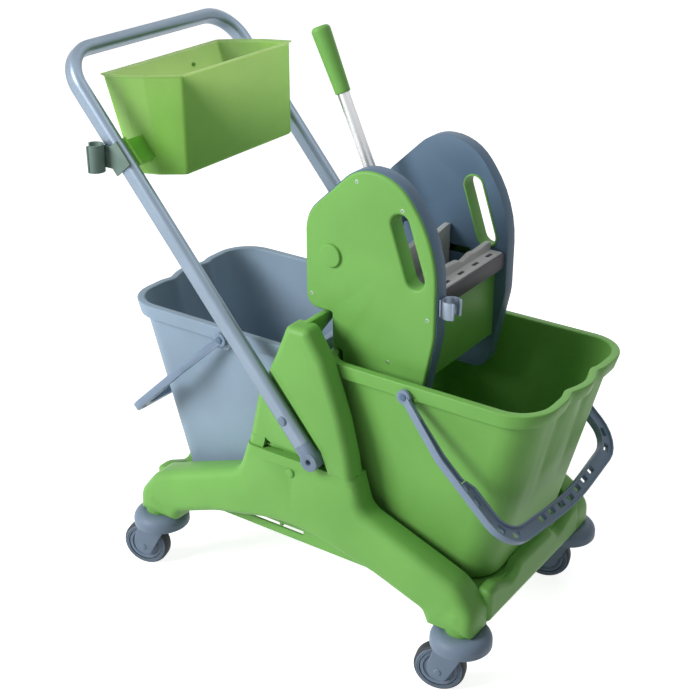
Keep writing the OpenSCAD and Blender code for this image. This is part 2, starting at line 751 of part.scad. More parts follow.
// Spring clip for a mop handle, axis along Z, mouth towards +X, with turned-out lips
module handle_clip(h, mouth) {
    r = clip_d / 2;
    lip = clip_wall + 1.4;
    rotate([0, 0, mouth]) rotate_extrude(angle = 360 - 2 * mouth) translate([r, 0]) square([clip_wall, h]);
    for (s = [-1, 1]) rotate([0, 0, s * (mouth - 1)]) translate([r + lip / 2 + 0.2, 0, 0.5])
        cylinder(d = lip, h = h - 1);
}
clip_h = 42;
clip_plate = 4;
clip_x = bracket_x - 31;
clip_y = -tube_out - clip_plate - clip_d / 2 - 0.7;
module mop_clip() {
    color(dark) {
        translate([clip_x, clip_y, bracket_z - clip_h / 2]) rotate([0, 0, 215]) handle_clip(clip_h, 52);
        at_handle() translate([-18, -tube_out - clip_plate, bracket_s - 20]) cube([36, clip_plate, 40]);
        translate([clip_x - 6, -tube_out - clip_plate + 0.5, bracket_z - clip_h / 2 + 4])
            cube([bracket_x - clip_x, clip_plate - 1, clip_h - 8]);
    }
}

// Buckets: drawn for the front, in X from the middle between the buckets
// Height of a ring sets how far the walls have come in and how far the pouring lip has faded
function lip_shape(y) =
    spout * exp(-pow(y / 22, 2)) - kink * exp(-pow((abs(y) - 42) / 13, 2));
function pail_ring(z, d) =
    let (low = (rim_z - z) / (rim_z - floor_z), fade = max(0, 1 - 1.6 * low))
    let (x0 = bucket_gap / 2 + rim_out + inner_draft * low - d)
    let (x1 = bucket_gap / 2 + bucket_l - rim_out - spout - end_draft * low + d)
    let (w = bucket_w / 2 - rim_out - side_draft * low + d)
    let (ri = inner_corner + d, ro = outer_corner + d, edge = [-70, -60, -50, -40, -30, -20, -10, 0])
    concat(
        turn_arc([x0 + ri, -w + ri], [x0, -w + ri], [x0 + ri, -w], 6),
        turn_arc([x1 - ro, -w + ro], [x1 - ro, -w], [x1, -w + ro], 7),
        [for (y = concat(edge, [for (i = [len(edge) - 2 : -1 : 0]) -edge[i]])) [x1 + fade * lip_shape(y), y]],
        turn_arc([x1 - ro, w - ro], [x1, w - ro], [x1 - ro, w], 7),
        turn_arc([x0 + ri, w - ri], [x0 + ri, w], [x0, w - ri], 6)
    );
function lift(ring, z) = [for (p = ring) [p.x, p.y, z]];
function pail_at(z, d, at) = lift(pail_ring(at, d), z);
module bail_boss() {
    half = 20;
    y0 = bucket_w / 2 - rim_out - 3;
    side_plate(y0, bucket_w / 2) polygon([
        [bail_x - half, rim_z - rim_h + 4], [bail_x - half + 9, bail_z - 18],
        [bail_x + half - 9, bail_z - 18], [bail_x + half, rim_z - rim_h + 4]
    ]);
    side_rod(bail_x, bail_z, y0, bail_y + arm_t + 2, bail_pin_d);
}
module pail() {
    bottom = floor_z + gap;
    band = rim_z - rim_h;
    under = rim_z - bucket_wall;
    skirt = rim_out - 2.5;
    union() {
        loft([
            pail_at(bottom, -8, bottom), pail_at(bottom + 8, 0, bottom + 8), pail_at(300, 0, 300),
            pail_at(380, 0, 380), pail_at(under, 0, under), pail_at(under, skirt, under),
            pail_at(band, skirt, band), pail_at(band, rim_out, band),
            pail_at(rim_z - 2, rim_out, rim_z), pail_at(rim_z, rim_out - 2, rim_z),
            pail_at(rim_z, -1, rim_z), pail_at(rim_z - 4, -bucket_wall, rim_z - 4),
            pail_at(380, -bucket_wall, 380), pail_at(300, -bucket_wall, 300),
            pail_at(bottom + 13, -bucket_wall, bottom + 13),
            pail_at(bottom + bucket_wall + 1, -bucket_wall - 9, bottom + bucket_wall + 1)
        ]);
        for (s = [0, 1]) mirror([0, s, 0]) bail_boss();
    }
}
module front_bucket() { color(green) translate([mid_x, 0, 0]) pail(); }
module rear_bucket() { color(grey) translate([mid_x, 0, 0]) mirror([1, 0, 0]) pail(); }

// Bail: its plane holds the width Y and the reach from the pivots, which hangs by bail_hang
bail_flare = 0.36 * bail_reach;
bail_corner = 58;
bail_fall = 15;
function mirrored(c) = [for (i = [len(c) - 1 : -1 : 0]) [-c[i].x, c[i].y, c[i][2]]];
bail_outer = [
    [bail_y + arm_t, 0, 0], [bail_half, bail_flare, 90], [bail_half, bail_reach - bail_fall, bail_corner]
];
bail_inner = [
    [bail_half - grip_w, bail_reach - bail_fall - grip_w, bail_corner - grip_w],
    [bail_half - grip_w, bail_flare + 62, 14], [bail_half - arm_w, bail_flare + 40, 14],
    [bail_half - arm_w, bail_flare, 80], [bail_y, 0, 0]
];
bail_outline = concat(bail_outer, [[0, bail_reach + 2, 600]], mirrored(bail_outer),
    mirrored(bail_inner), [[0, bail_reach + 2 - grip_w, 600]], bail_inner);
module grip_hole(y, reach, turn) {
    translate([y, reach, 0]) rotate([0, 0, turn]) cube([15, 9, 2 * bail_depth], center = true);
}
module bail() {
    eye = 11;
    lane = grip_w / 2;
    slope = atan2(bail_fall + 2, bail_half);
    bend = [bail_half - bail_corner, bail_reach - bail_fall - bail_corner + 4];
    color(dark) translate([mid_x + bail_x, 0, bail_z]) rotate([0, bail_hang, 0]) rotate([180, 0, 90]) difference() {
        union() {
            linear_extrude(bail_depth, center = true) polygon(rounded(bail_outline));
            for (s = [-1, 1]) translate([s * (bail_y + arm_t / 2), 0, 0]) rotate([0, 90, 0])
                cylinder(r = eye, h = arm_t, center = true);
        }
        rotate([0, 90, 0]) cylinder(d = bail_pin_d + 2 * run, h = 3 * bail_y, center = true);
        // Groove along the upper side
        translate([0, 0, -bail_depth / 2 - 1]) linear_extrude(groove + 1) intersection() {
            polygon(rounded(inset(bail_outline, 2.6)));
            translate([-bail_half, 0.4 * bail_flare]) square([2 * bail_half, bail_reach]);
        }
        for (i = [0 : grip_holes - 1]) {
            y = (i - (grip_holes - 1) / 2) * 27;
            grip_hole(y, bail_reach - 0.5 - lane - abs(y) * tan(slope), -sign(y) * slope);
        }
        for (s = [-1, 1]) {
            for (a = [26, 62]) grip_hole(s * (bend.x + (bail_corner - lane) * cos(a)),
                bend.y + (bail_corner - lane) * sin(a), s * (a - 90));
            for (r = [bail_flare + 52, bail_flare + 78]) grip_hole(s * (bail_half - lane + 1), r, 90);
        }
    }
}
module front_bail() { bail(); }
module rear_bail() { translate([2 * mid_x, 0, 0]) mirror([1, 0, 0]) bail(); }

// Wringer
// Inner face of the front bucket's rear wall, at the lower edge of the housings
bucket_back = mid_x + bucket_gap / 2 + rim_out + bucket_wall
    + inner_draft * (rim_z - housing_z) / (rim_z - floor_z);
housing_front = 197;
housing_rear = -25;
// Room around the housings where they pass the tower seats and the bucket
housing_room = 8;
housing_heel = mid_x + seat_w / 2 + housing_room;
housing_step = rim_z + gap + shell_rim;
housing_low = bucket_back + shell_rim + 2;
housing_outline = [
    [housing_low, housing_z, 12], [170, housing_z, 25], [housing_front, 535, 120], [housing_front, 675, 190],
    [128, 764, 78], [62, 762, 64], [housing_rear, 680, 60], [housing_rear, seat_z, 20],
    [housing_heel, seat_z, 3], [housing_heel, housing_step, 1], [housing_low, housing_step, 4]
];
module slot_shape(r) {
    slot_end = slot_top + slot_len * slot_dir;
    side = [slot_dir.y, -slot_dir.x];
    for (p = [slot_top, slot_end]) translate(p) circle(r = r);
    polygon([slot_top + r * side, slot_end + r * side, slot_end - r * side, slot_top - r * side]);
}
screw_points = [[65, 745], [141, 717], [-15, 557], [185, 563], [120, 480]];
// Lug that joins each rack to the jaw
lug_x0 = jaw_x - jaw_t - 3;
lug_w = 11;
lug_h = 10.5;
lug_z0 = shaft_z - 42;
module wringer_shell() {
    wide = inset(housing_outline, -shell_rim);
    color(dark) difference() {
        union() {
            side_plate(shell_in, shell_in + shell_wall) polygon(rounded(wide));
            side_plate(shell_in, cover_in) difference() {
                polygon(rounded(wide));
                polygon(rounded(inset(housing_outline, shell_wall)));
            }
            // Bearing boss, screw posts and the guide above the rack
            side_rod(shaft_x, shaft_z, shell_in, rack_y - gear_w / 2 - gap, shaft_d + 10);
            for (p = screw_points) side_rod(p.x, p.y, shell_in, cover_in, 10);
            translate([-20, -rack_y - gear_w / 2, rack_top + gap])
                cube([138, rack_y + gear_w / 2 - shell_in, 3]);
        }
        side_rod(shaft_x, shaft_z, shell_in - 1, cover_in, shaft_d + 2 * run);
        side_plate(shell_in - 1, cover_in + 1) slot_shape(slot_r + sleeve + gap);
        // Slot for the lug that joins the rack to the jaw
        translate([lug_x0 - 1, -shell_in - shell_wall - 1, lug_z0 - 1])
            cube([lug_w + jaw_travel + 3, shell_wall + 2, lug_h + 2]);
        for (p = screw_points) side_rod(p.x, p.y, cover_in - 12, cover_in + 1, 3);
    }
}
module wringer_cover() {
    edge = 3;
    color(green) difference() {
        union() {
            loft([
                side_ring(housing_outline, cover_in),
                side_ring(housing_outline, wringer_y - edge),
                side_ring(inset(housing_outline, 0.3 * edge), wringer_y - 0.3 * edge),
                side_ring(inset(housing_outline, edge), wringer_y)
            ], [0, 2]);
            side_rod(shaft_x, shaft_z, wringer_y - 1, wringer_y + boss_out - 2, 2 * boss_r);
            side_rod(shaft_x, shaft_z, wringer_y - 1, wringer_y + boss_out, 2 * boss_r - 4);
            side_plate(shell_in, cover_in + 1) slot_shape(slot_r + sleeve);
        }
        side_plate(shell_in - 1, wringer_y + 1) slot_shape(slot_r);
        for (p = screw_points) {
            side_rod(p.x, p.y, cover_in - 1, wringer_y + 1, 3.4);
            side_rod(p.x, p.y, wringer_y - 2, wringer_y + 1, 7);
        }
    }
}
module cover_screws() {
    color(silver) for (s = [0, 1]) mirror([0, s, 0]) for (p = screw_points) {
        side_rod(p.x, p.y, cover_in - 10, wringer_y - 1.8, 2.8);
        side_rod(p.x, p.y, wringer_y - 1.8, wringer_y - 0.3, 6.6);
    }
}
module front_bar() {
    slots = 7;
    color(dark) difference() {
        translate([bar_x, -shell_in, bar_z - bar_h]) cube([bar_d, 2 * shell_in, bar_h]);
        for (i = [0 : slots - 1])
            translate([bar_x + 9, (i - (slots - 1) / 2) * 24 - 8, bar_z - bar_h - 4]) cube([bar_d - 12, 16, bar_h]);
    }
}
module front_wall() {
    color(green) translate([bar_x + 4, -shell_in, wall_z])
        cube([front_wall_t, 2 * shell_in, bar_z - bar_h - wall_z]);
}
// Press jaws: a ribbed plate with rows of drain holes and a wavy top
jaw_side = 2.3;
module jaw_plate(top) {
    half = shell_in - jaw_side;
    holes = 6;
    wave = 2.5;
    difference() {
        rotate([90, 0, 90]) linear_extrude(jaw_t) polygon(concat(
            [[half, jaw_z], [half, top]],
            [for (k = [11 : -1 : -11]) let (y = half * k / 12) [y, top - wave + wave * cos(180 * abs(k) / 6)]],
            [[-half, top], [-half, jaw_z]]
        ));
        for (i = [0 : holes - 1]) for (z = [jaw_z + 22, jaw_z + 50])
            translate([-1, (i - (holes - 1) / 2) * 27, z]) rotate([0, 90, 0]) cylinder(d = 10, h = jaw_t + 2);
    }
}
module front_jaw() {
    color(cream) {
        translate([bar_x - jaw_t, 0, 0]) jaw_plate(bar_z + jaw_rise);
        for (y = [-60, 0, 60])
            translate([bar_x - 1, y - 2, jaw_z + 4]) cube([5, 4, bar_z - bar_h - jaw_z - 8]);
    }
}
module rear_jaw() {
    color(cream) {
        translate([jaw_x - jaw_t, 0, 0]) jaw_plate(bar_z + jaw_rise + 14);
        for (y = [-66, -33, 0, 33, 66])
            translate([jaw_x - jaw_t - 8, y - 1.5, jaw_z + 6]) cube([9, 3, 80]);
    }
}
// Pinion and rack: involute teeth on the pinion, straight flanks on the rack
function involute(base, a) = base * [cos(a) + a * PI / 180 * sin(a), sin(a) - a * PI / 180 * cos(a)];
function spin(p, a) = [p.x * cos(a) - p.y * sin(a), p.x * sin(a) + p.y * cos(a)];
module pinion_shape() {
    base = pitch_r * cos(20);
    tip = pitch_r + gear_m;
    root = pitch_r - 1.25 * gear_m;
    open = 180 / PI * sqrt(pow(tip / base, 2) - 1);
    at_pitch = 180 / PI * tan(20) - 20;
    half = 90 / gear_teeth + at_pitch - 180 / PI * backlash / pitch_r;
    steps = 4;
    flank = [for (k = [0 : steps]) spin(involute(base, open * k / steps), -half)];
    tooth = concat([spin([root, 0], -half - 0.5)], flank,
        [for (k = [steps : -1 : 0]) [flank[k].x, -flank[k].y]], [spin([root, 0], half + 0.5)]);
    polygon([for (t = [0 : gear_teeth - 1]) each [for (p = tooth) spin(p, 90 + 360 * t / gear_teeth)]]);
}
module pinion() {
    color(black) difference() {
        side_plate(rack_y - gear_w / 2, rack_y + gear_w / 2) translate([shaft_x, shaft_z]) pinion_shape();
        side_rod(shaft_x, shaft_z, rack_y - gear_w, rack_y + gear_w, shaft_d + 2 * seat);
    }
}
module rack() {
    pitch = PI * gear_m;
    tip = rack_z - gear_m;
    root = rack_z + 1.25 * gear_m;
    rear = shaft_x - jaw_travel - 7.5;
    front = lug_x0 + lug_w - 1;
    thin = pitch / 4 - backlash;
    slope = tan(20);
    color(black) {
        side_plate(rack_y - gear_w / 2, rack_y + gear_w / 2) {
            translate([rear, root]) square([front - rear, rack_top - root]);
            for (k = [-4 : 2]) {
                c = shaft_x + pitch * (k + 0.5);
                polygon([
                    [c - thin - slope * (root - rack_z), root + 0.5], [c - thin + slope * gear_m, tip],
                    [c + thin - slope * gear_m, tip], [c + thin + slope * (root - rack_z), root + 0.5]
                ]);
            }
        }
        // Leg from the rack down to the lug
        translate([lug_x0 + 1, -rack_y - gear_w / 2 + 1, lug_z0 + 1])
            cube([lug_w - 2, gear_w - 2, rack_top - lug_z0 - 2]);
        translate([lug_x0, -rack_y, lug_z0]) cube([lug_w, rack_y - shell_in + jaw_side, lug_h]);
    }
}
module lever_shaft() {
    color(silver) side_rod(shaft_x, shaft_z, -cover_in + 0.5, cover_in - 0.5, shaft_d);
}
// Lever: in its own frame the shaft is the origin and the tube runs along +Z
module at_lever() { translate([shaft_x, lever_y, shaft_z]) rotate([0, -lever_lean, 0]) children(); }
hub_len = 62;
module lever_hub() {
    color(dark) difference() {
        at_lever() {
            rotate([90, 0, 0]) cylinder(d = shaft_d + 16, h = 30, center = true);
            cylinder(d = lever_d + 7, h = hub_len);
        }
        at_lever() translate([0, 0, shaft_d / 2 + 8]) cylinder(d = lever_d + 2 * seat, h = hub_len);
        side_rod(shaft_x, shaft_z, -wringer_y, wringer_y, shaft_d + 2 * seat);
    }
}
module lever_tube() {
    wall = 1.6;
    from = shaft_d / 2 + 8 + gap;
    top = lever_len - 12;
    color(silver) at_lever() difference() {
        translate([0, 0, from]) cylinder(d = lever_d, h = top - from);
        translate([0, 0, from - 1]) cylinder(d = lever_d - 2 * wall, h = top - from + 2);
    }
}
module lever_grip() {
    crown = 7;
    low = lever_len - grip_len;
    r0 = grip_d0 / 2;
    r1 = grip_d1 / 2;
    bore = lever_d / 2 + seat;
    color(green) at_lever() rotate_extrude() difference() {
        polygon(concat(
            [[0, low], [r0 - 1, low], [r0, low + 1], [r1, lever_len - crown]],
            [for (a = [15 : 15 : 75]) [r1 - crown + crown * cos(a), lever_len - crown + crown * sin(a)]],
            [[r1 - crown, lever_len], [0, lever_len]]
        ));
        translate([0, low - 1]) square([bore, grip_len - 11]);
    }
}
module wringer_clip() {
    h = 26;
    z0 = bar_z - bar_h - 6;
    x0 = housing_front + shell_rim;
    y0 = shell_in + 11;
    foot = 4;
    color(silver) {
        translate([x0 + foot + clip_d / 2, -y0, z0]) handle_clip(h, 50);
        translate([x0, -y0 - 9, z0]) cube([foot - 0.4, 18, h]);
    }
}

base_tray();
rail();  // rail_near
far() rail();  // rail_far
tower();  // tower_near
far() tower();  // tower_far
handle_pins();
caster_stems();
rail_button();  // rail_button_near
far() rail_button();  // rail_button_far
rail_spring();  // rail_spring_near
far() rail_spring();  // rail_spring_far
handle_tube();
end_cap();  // end_cap_near
far() end_cap();  // end_cap_far
handle_button();  // handle_button_near
far() handle_button();  // handle_button_far
handle_spring();  // handle_spring_near
far() handle_spring();  // handle_spring_far
basket();
basket_bracket();  // basket_bracket_near
far() basket_bracket();  // basket_bracket_far
mop_clip();
front_bucket();
rear_bucket();
front_bail();
rear_bail();
wringer_shell();  // wringer_shell_near
far() wringer_shell();  // wringer_shell_far
wringer_cover();  // wringer_cover_near
far() wringer_cover();  // wringer_cover_far
cover_screws();
front_bar();
front_wall();
front_jaw();
wringer_clip();
lever_shaft();
lever_hub();
lever_tube();
lever_grip();
pinion();  // pinion_near
far() pinion();  // pinion_far
rear_jaw();
rack();  // rack_near
far() rack();  // rack_far
for (c = CASTERS) {
    at_caster(c) fork();
    at_caster(c) axle();
    at_caster(c) hub();
    at_caster(c) tyre();
}
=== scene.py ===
import json
import math

import bmesh
import bpy
import numpy as np
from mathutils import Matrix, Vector


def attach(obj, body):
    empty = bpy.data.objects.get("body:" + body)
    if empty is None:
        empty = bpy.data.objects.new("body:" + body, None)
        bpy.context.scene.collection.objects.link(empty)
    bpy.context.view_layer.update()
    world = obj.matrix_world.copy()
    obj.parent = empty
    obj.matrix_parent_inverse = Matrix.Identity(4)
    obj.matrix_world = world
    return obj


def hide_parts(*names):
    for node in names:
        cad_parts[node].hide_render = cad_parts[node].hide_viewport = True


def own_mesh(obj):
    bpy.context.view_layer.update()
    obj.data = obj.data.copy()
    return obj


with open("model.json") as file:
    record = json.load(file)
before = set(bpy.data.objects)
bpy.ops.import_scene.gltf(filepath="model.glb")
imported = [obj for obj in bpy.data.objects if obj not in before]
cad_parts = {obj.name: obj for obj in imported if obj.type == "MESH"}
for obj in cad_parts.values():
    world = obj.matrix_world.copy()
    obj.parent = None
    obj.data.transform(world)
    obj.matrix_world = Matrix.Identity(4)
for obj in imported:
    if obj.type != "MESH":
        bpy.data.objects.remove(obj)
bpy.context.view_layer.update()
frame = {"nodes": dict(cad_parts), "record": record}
nodes = frame["nodes"]
print("frame loaded:", len(nodes), "nodes")


# A socket that can be used in an expression: each operator adds one Math node
class Value:
    def __init__(self, maker, socket):
        self.maker, self.socket = maker, socket

    def join(self, operation, other):
        return self.maker.node("ShaderNodeMath", {0: self, 1: other}, operation=operation)

    def __add__(self, other): return self.join("ADD", other)
    def __mul__(self, other): return self.join("MULTIPLY", other)
    __radd__, __rmul__ = __add__, __mul__


# One material: node() adds any node, with its settings first and then its sockets
class Finish:
    def __init__(self, name):
        self.material = bpy.data.materials.new(name)
        self.material.use_nodes = True
        self.tree = self.material.node_tree
        self.shader = self.tree.nodes["Principled BSDF"]

    def node(self, kind, sockets=None, out=0, **settings):
        made = self.tree.nodes.new(kind)
        for key, value in settings.items():
            setattr(made, key, value)
        for key, value in (sockets or {}).items():
            self.feed(made.inputs[key], value)
        return Value(self, made.outputs[out])

    def feed(self, target, value):
        if isinstance(value, Value):
            self.tree.links.new(value.socket, target)
        else:
            target.default_value = value

    def set(self, **sockets):
        for key, value in sockets.items():
            self.feed(self.shader.inputs[key.replace("_", " ")], value)
        return self.material

    def place(self, scale=(1, 1, 1)):
        spot = self.node("ShaderNodeTexCoord", out="Object")
        return self.node("ShaderNodeMapping", {"Vector": spot, "Scale": scale})

    def noise(self, spot, scale, detail, rough=0.5):
        sockets = {"Vector": spot, "Scale": scale, "Detail": detail, "Roughness": rough}
        return self.node("ShaderNodeTexNoise", sockets)

    # Sockets 0, 6 and 7 of a Mix node are its factor and its two colours, and output 2 is its colour
    def mix(self, share, a, b):
        return self.node("ShaderNodeMix", {0: share, 6: a, 7: b}, out=2, data_type="RGBA")

    def spread(self, value, low, high):
        return self.node("ShaderNodeMapRange", {"Value": value, "From Min": low, "From Max": high})

    def bump(self, height, strength, distance):
        return self.node("ShaderNodeBump", {"Strength": strength, "Distance": distance, "Height": height})


def shade(color, factor):
    return tuple(min(1.0, c * factor) for c in color) + (1.0,)


# A noise is its scale, detail and roughness; a bump is its strength and distance
moulded = {"cloud": (9.0, 3.0), "cloudRange": (0.3, 0.7), "tones": (0.93, 1.06), "fine": (1100.0, 1.0),
           "bump": (0.12, 0.0004), "scuff": (38.0, 4.0, 0.7), "scuffStretch": (1, 1, 6), "scuffRange": (0.62, 0.75),
           "scuffShare": 0.25, "scuffTone": 1.25, "vary": 0.10, "specular": 0.25}


# Injection moulded plastic: cloudy flow colour, a fine spark texture and faint handling marks
def mouldedPlastic(name, color, rough, spec=moulded):
    finish = Finish(name)
    spot = finish.place()
    cloud = finish.noise(spot, *spec["cloud"])
    fine = finish.noise(spot, *spec["fine"])
    scuff = finish.noise(finish.place(spec["scuffStretch"]), *spec["scuff"])
    scuff = finish.spread(scuff, *spec["scuffRange"])
    dark, light = (shade(color, tone) for tone in spec["tones"])
    base = finish.mix(finish.spread(cloud, *spec["cloudRange"]), dark, light)
    tone = finish.mix(scuff * spec["scuffShare"], base, shade(color, spec["scuffTone"]))
    return finish.set(Base_Color=tone, Roughness=rough + spec["vary"] * cloud + spec["vary"] * scuff,
                      Normal=finish.bump(fine, *spec["bump"]), Specular_IOR_Level=spec["specular"])


thin = {"Subsurface Weight": 0.8, "Subsurface Radius": (0.8, 1.0, 0.5), "Subsurface Scale": 0.045}


# Thin moulded wall that lets some light through
def thinPlastic(name, color, rough, spec=thin):
    material = mouldedPlastic(name, color, rough)
    for key, value in spec.items():
        material.node_tree.nodes["Principled BSDF"].inputs[key].default_value = value
    return material


powder = {"peel": (420.0, 2.0), "bump": (0.12, 0.0006), "cloud": (14.0, 2.0), "cloudRange": (0.3, 0.7),
          "tones": (0.94, 1.05), "rough": 0.36, "vary": 0.1, "metallic": 0.7}


# Metallic powder coat on the handle tube: orange peel
def powderCoat(name, color, spec=powder):
    finish = Finish(name)
    peel = finish.noise(finish.place(), *spec["peel"])
    cloud = finish.noise(finish.place(), *spec["cloud"])
    dark, light = (shade(color, tone) for tone in spec["tones"])
    return finish.set(Base_Color=finish.mix(finish.spread(cloud, *spec["cloudRange"]), dark, light),
                      Roughness=spec["rough"] + spec["vary"] * cloud,
                      Normal=finish.bump(peel, *spec["bump"]), Metallic=spec["metallic"])


drawn = {"streak": (60.0, 4.0, 0.6), "tones": (0.86, 1.06), "vary": 0.16, "bump": (0.06, 0.0003)}


# Drawn metal: streaks along the given stretch
def drawnMetal(name, color, stretch, rough, spec=drawn):
    finish = Finish(name)
    streak = finish.noise(finish.place(stretch), *spec["streak"])
    dark, light = (shade(color, tone) for tone in spec["tones"])
    return finish.set(Base_Color=finish.mix(streak, dark, light), Metallic=1.0,
                      Roughness=rough + spec["vary"] * streak, Normal=finish.bump(streak, *spec["bump"]))


rubber = {"dust": (55.0, 4.0, 0.7), "dustRange": (0.45, 0.75), "tones": (1.0, 1.5), "rough": 0.62, "vary": 0.2,
          "bump": (0.08, 0.0008)}


# Grey non-marking tyre: matt with a little dust
def tyreRubber(name, color, spec=rubber):
    finish = Finish(name)
    dust = finish.noise(finish.place(), *spec["dust"])
    dark, light = (shade(color, tone) for tone in spec["tones"])
    return finish.set(Base_Color=finish.mix(finish.spread(dust, *spec["dustRange"]), dark, light),
                      Roughness=spec["rough"] + spec["vary"] * dust, Normal=finish.bump(dust, *spec["bump"]))


green = mouldedPlastic("greenPlastic", (0.176, 0.430, 0.093), 0.40)
lime = thinPlastic("limePlastic", (0.205, 0.52, 0.078), 0.44)
pailGrey = mouldedPlastic("pailGrey", (0.262, 0.355, 0.455), 0.40)
casterGrey = mouldedPlastic("casterGrey", (0.180, 0.240, 0.325), 0.42)
bailGrey = mouldedPlastic("bailGrey", (0.212, 0.285, 0.390), 0.42)
clipGreen = mouldedPlastic("clipGreen", (0.150, 0.225, 0.195), 0.5)
barBrown = mouldedPlastic("barBrown", (0.090, 0.085, 0.100), 0.5)
darkGrey = mouldedPlastic("darkGrey", (0.108, 0.178, 0.262), 0.45)
pale = mouldedPlastic("palePlastic", (0.52, 0.53, 0.52), 0.5)
# Black gear plastic; the same finish is painted shade in the screw drives and the ledge pockets
gearBlackAndShade = mouldedPlastic("gearBlackAndShade", (0.03, 0.032, 0.035), 0.5)
tubePaint = powderCoat("tubePaint", (0.235, 0.300, 0.375))
aluminium = drawnMetal("leverAluminium", (0.62, 0.63, 0.64), (20, 20, 1), 0.32)
steel = drawnMetal("zincSteel", (0.42, 0.44, 0.47), (4, 4, 4), 0.34)
clipZinc = drawnMetal("clipZinc", (0.24, 0.29, 0.36), (4, 4, 4), 0.4)
tyre = tyreRubber("greyTyre", (0.030, 0.036, 0.045))
wallGrey = tyreRubber("tyreWall", (0.120, 0.165, 0.225))

slotFinish = {
    "green_plastic": green, "lime_plastic": lime, "grey_bucket": pailGrey, "grey_plastic": casterGrey,
    "dark_plastic": darkGrey, "pale_plastic": pale, "gear_plastic": gearBlackAndShade, "tube_paint": tubePaint,
    "aluminium": aluminium, "steel": steel, "tyre_grey": tyre,
}
nodeFinish = {
    "mop_clip": clipGreen, "wringer_clip": clipZinc, "front_bail": bailGrey, "rear_bail": bailGrey,
    "front_bar": barBrown, "axle_rn": casterGrey, "axle_fn": casterGrey, "axle_ff": casterGrey,
    "axle_rf": casterGrey,
}
softEdge = {"weld": 0.00002, "width": 0.0009, "segments": 2, "angle": 32, "weight": 90}
edgeWidth = {"handle_tube": 0.0, "tower_near": 0.0002, "tower_far": 0.0002,
             "wringer_shell_near": 0.004, "wringer_shell_far": 0.004}


# A CAD node keeps its mesh: its triangles are welded and its sharp edges get a small radius. Where that radius is
# 0, as on the tube, the normals lean to the larger faces instead
def dressNode(name, slot):
    thing = nodes[name]
    thing.data.materials.clear()
    thing.data.materials.append(nodeFinish.get(name, slotFinish[slot]))
    weld = thing.modifiers.new("weld", "WELD")
    weld.merge_threshold = softEdge["weld"]
    width = edgeWidth.get(name, softEdge["width"])
    if width:
        bevel = thing.modifiers.new("edge", "BEVEL")
        bevel.width, bevel.segments = width, softEdge["segments"]
        bevel.limit_method, bevel.angle_limit = "ANGLE", math.radians(softEdge["angle"])
        bevel.harden_normals = False
    else:
        thing.modifiers.new("flat", "WEIGHTED_NORMAL").weight = softEdge["weight"]
    thing.data.polygons.foreach_set("use_smooth", [True] * len(thing.data.polygons))


for part in frame["record"]["subparts"]:
    dressNode(part["node"], part["material_slot"])
print("nodes dressed")

# Shapes: every piece is a stack of rings, an array of (ring, point, xyz) in millimetres
sides = {"near": -1, "far": 1}
least = {"radius": 0.4, "across": 1e-9, "apart": 1e-6}
roundSteps = {"small": 3, "edge": 4, "rim": 5, "large": 7}
cornerSteps = {"small": 4, "usual": 8}


def unit(v):
    return v / np.linalg.norm(v, axis=-1, keepdims=True)


# Corners (a, b, radius) run anticlockwise. Each edge is moved inwards by `inset`, so a corner goes along its
# two edge normals, and its radius shrinks where the outline turns left and grows where it turns right
def movedIn(corners, inset):
    p, r = corners[:, :2], corners[:, 2]
    e, f = unit(p - np.roll(p, 1, 0)), unit(np.roll(p, -1, 0) - p)
    m, n = np.stack([-e[:, 1], e[:, 0]], 1), np.stack([-f[:, 1], f[:, 0]], 1)
    shift = inset * (m + n) / (1 + (m * n).sum(1, keepdims=True))
    grown = np.maximum(r - inset * np.sign(e[:, 0] * f[:, 1] - e[:, 1] * f[:, 0]), least["radius"])
    return np.column_stack([p + shift, grown])


# Outline with rounded corners: at each corner an arc that touches both edges, from one touching point to the other
def outline(corners, inset=0.0, steps=cornerSteps["usual"]):
    c = movedIn(np.asarray(corners, float), inset)
    p, r = c[:, :2], c[:, 2]
    u, v = unit(np.roll(p, 1, 0) - p), unit(np.roll(p, -1, 0) - p)
    half = np.arccos(np.clip((u * v).sum(1), -1, 1)) / 2
    middle = p + unit(u + v) * (r / np.sin(half))[:, None]
    first, last = (p + way * (r / np.tan(half))[:, None] - middle for way in (u, v))
    start = np.arctan2(first[:, 1], first[:, 0])
    sweep = np.arctan2(last[:, 1], last[:, 0]) - start
    sweep = (sweep + np.pi) % (2 * np.pi) - np.pi
    angle = start[:, None] + sweep[:, None] * np.linspace(0, 1, steps + 1)
    arc = middle[:, None, :] + r[:, None, None] * np.stack([np.cos(angle), np.sin(angle)], -1)
    return arc.reshape(-1, 2)


# Quarter round from 0 to 90 degrees: how far in and how far short of the face each ring is
def quarter(radius, steps):
    a = np.linspace(0, np.pi / 2, steps + 1)
    return radius * (1 - np.cos(a)), radius * (1 - np.sin(a))


# Levels of a plate: its back, then a quarter round that ends on its face, each as (place, inset)
def plateLevels(back, face, radius, steps):
    inset, short = quarter(radius, steps)
    return [(back, 0.0)] + list(zip(face - short, inset))


def around(steps):
    return np.linspace(0, 2 * np.pi, steps + 1)[:-1]


# Turned shape: one circle for each radius about the line along Y through x and z, at its place along that line
def turned(x, z, radii, along, steps):
    radii, along, angle = np.asarray(radii)[:, None], np.asarray(along)[:, None], around(steps)
    a, b = x + radii * np.cos(angle), z + radii * np.sin(angle)
    return np.stack([a, np.broadcast_to(along, a.shape), b], -1)


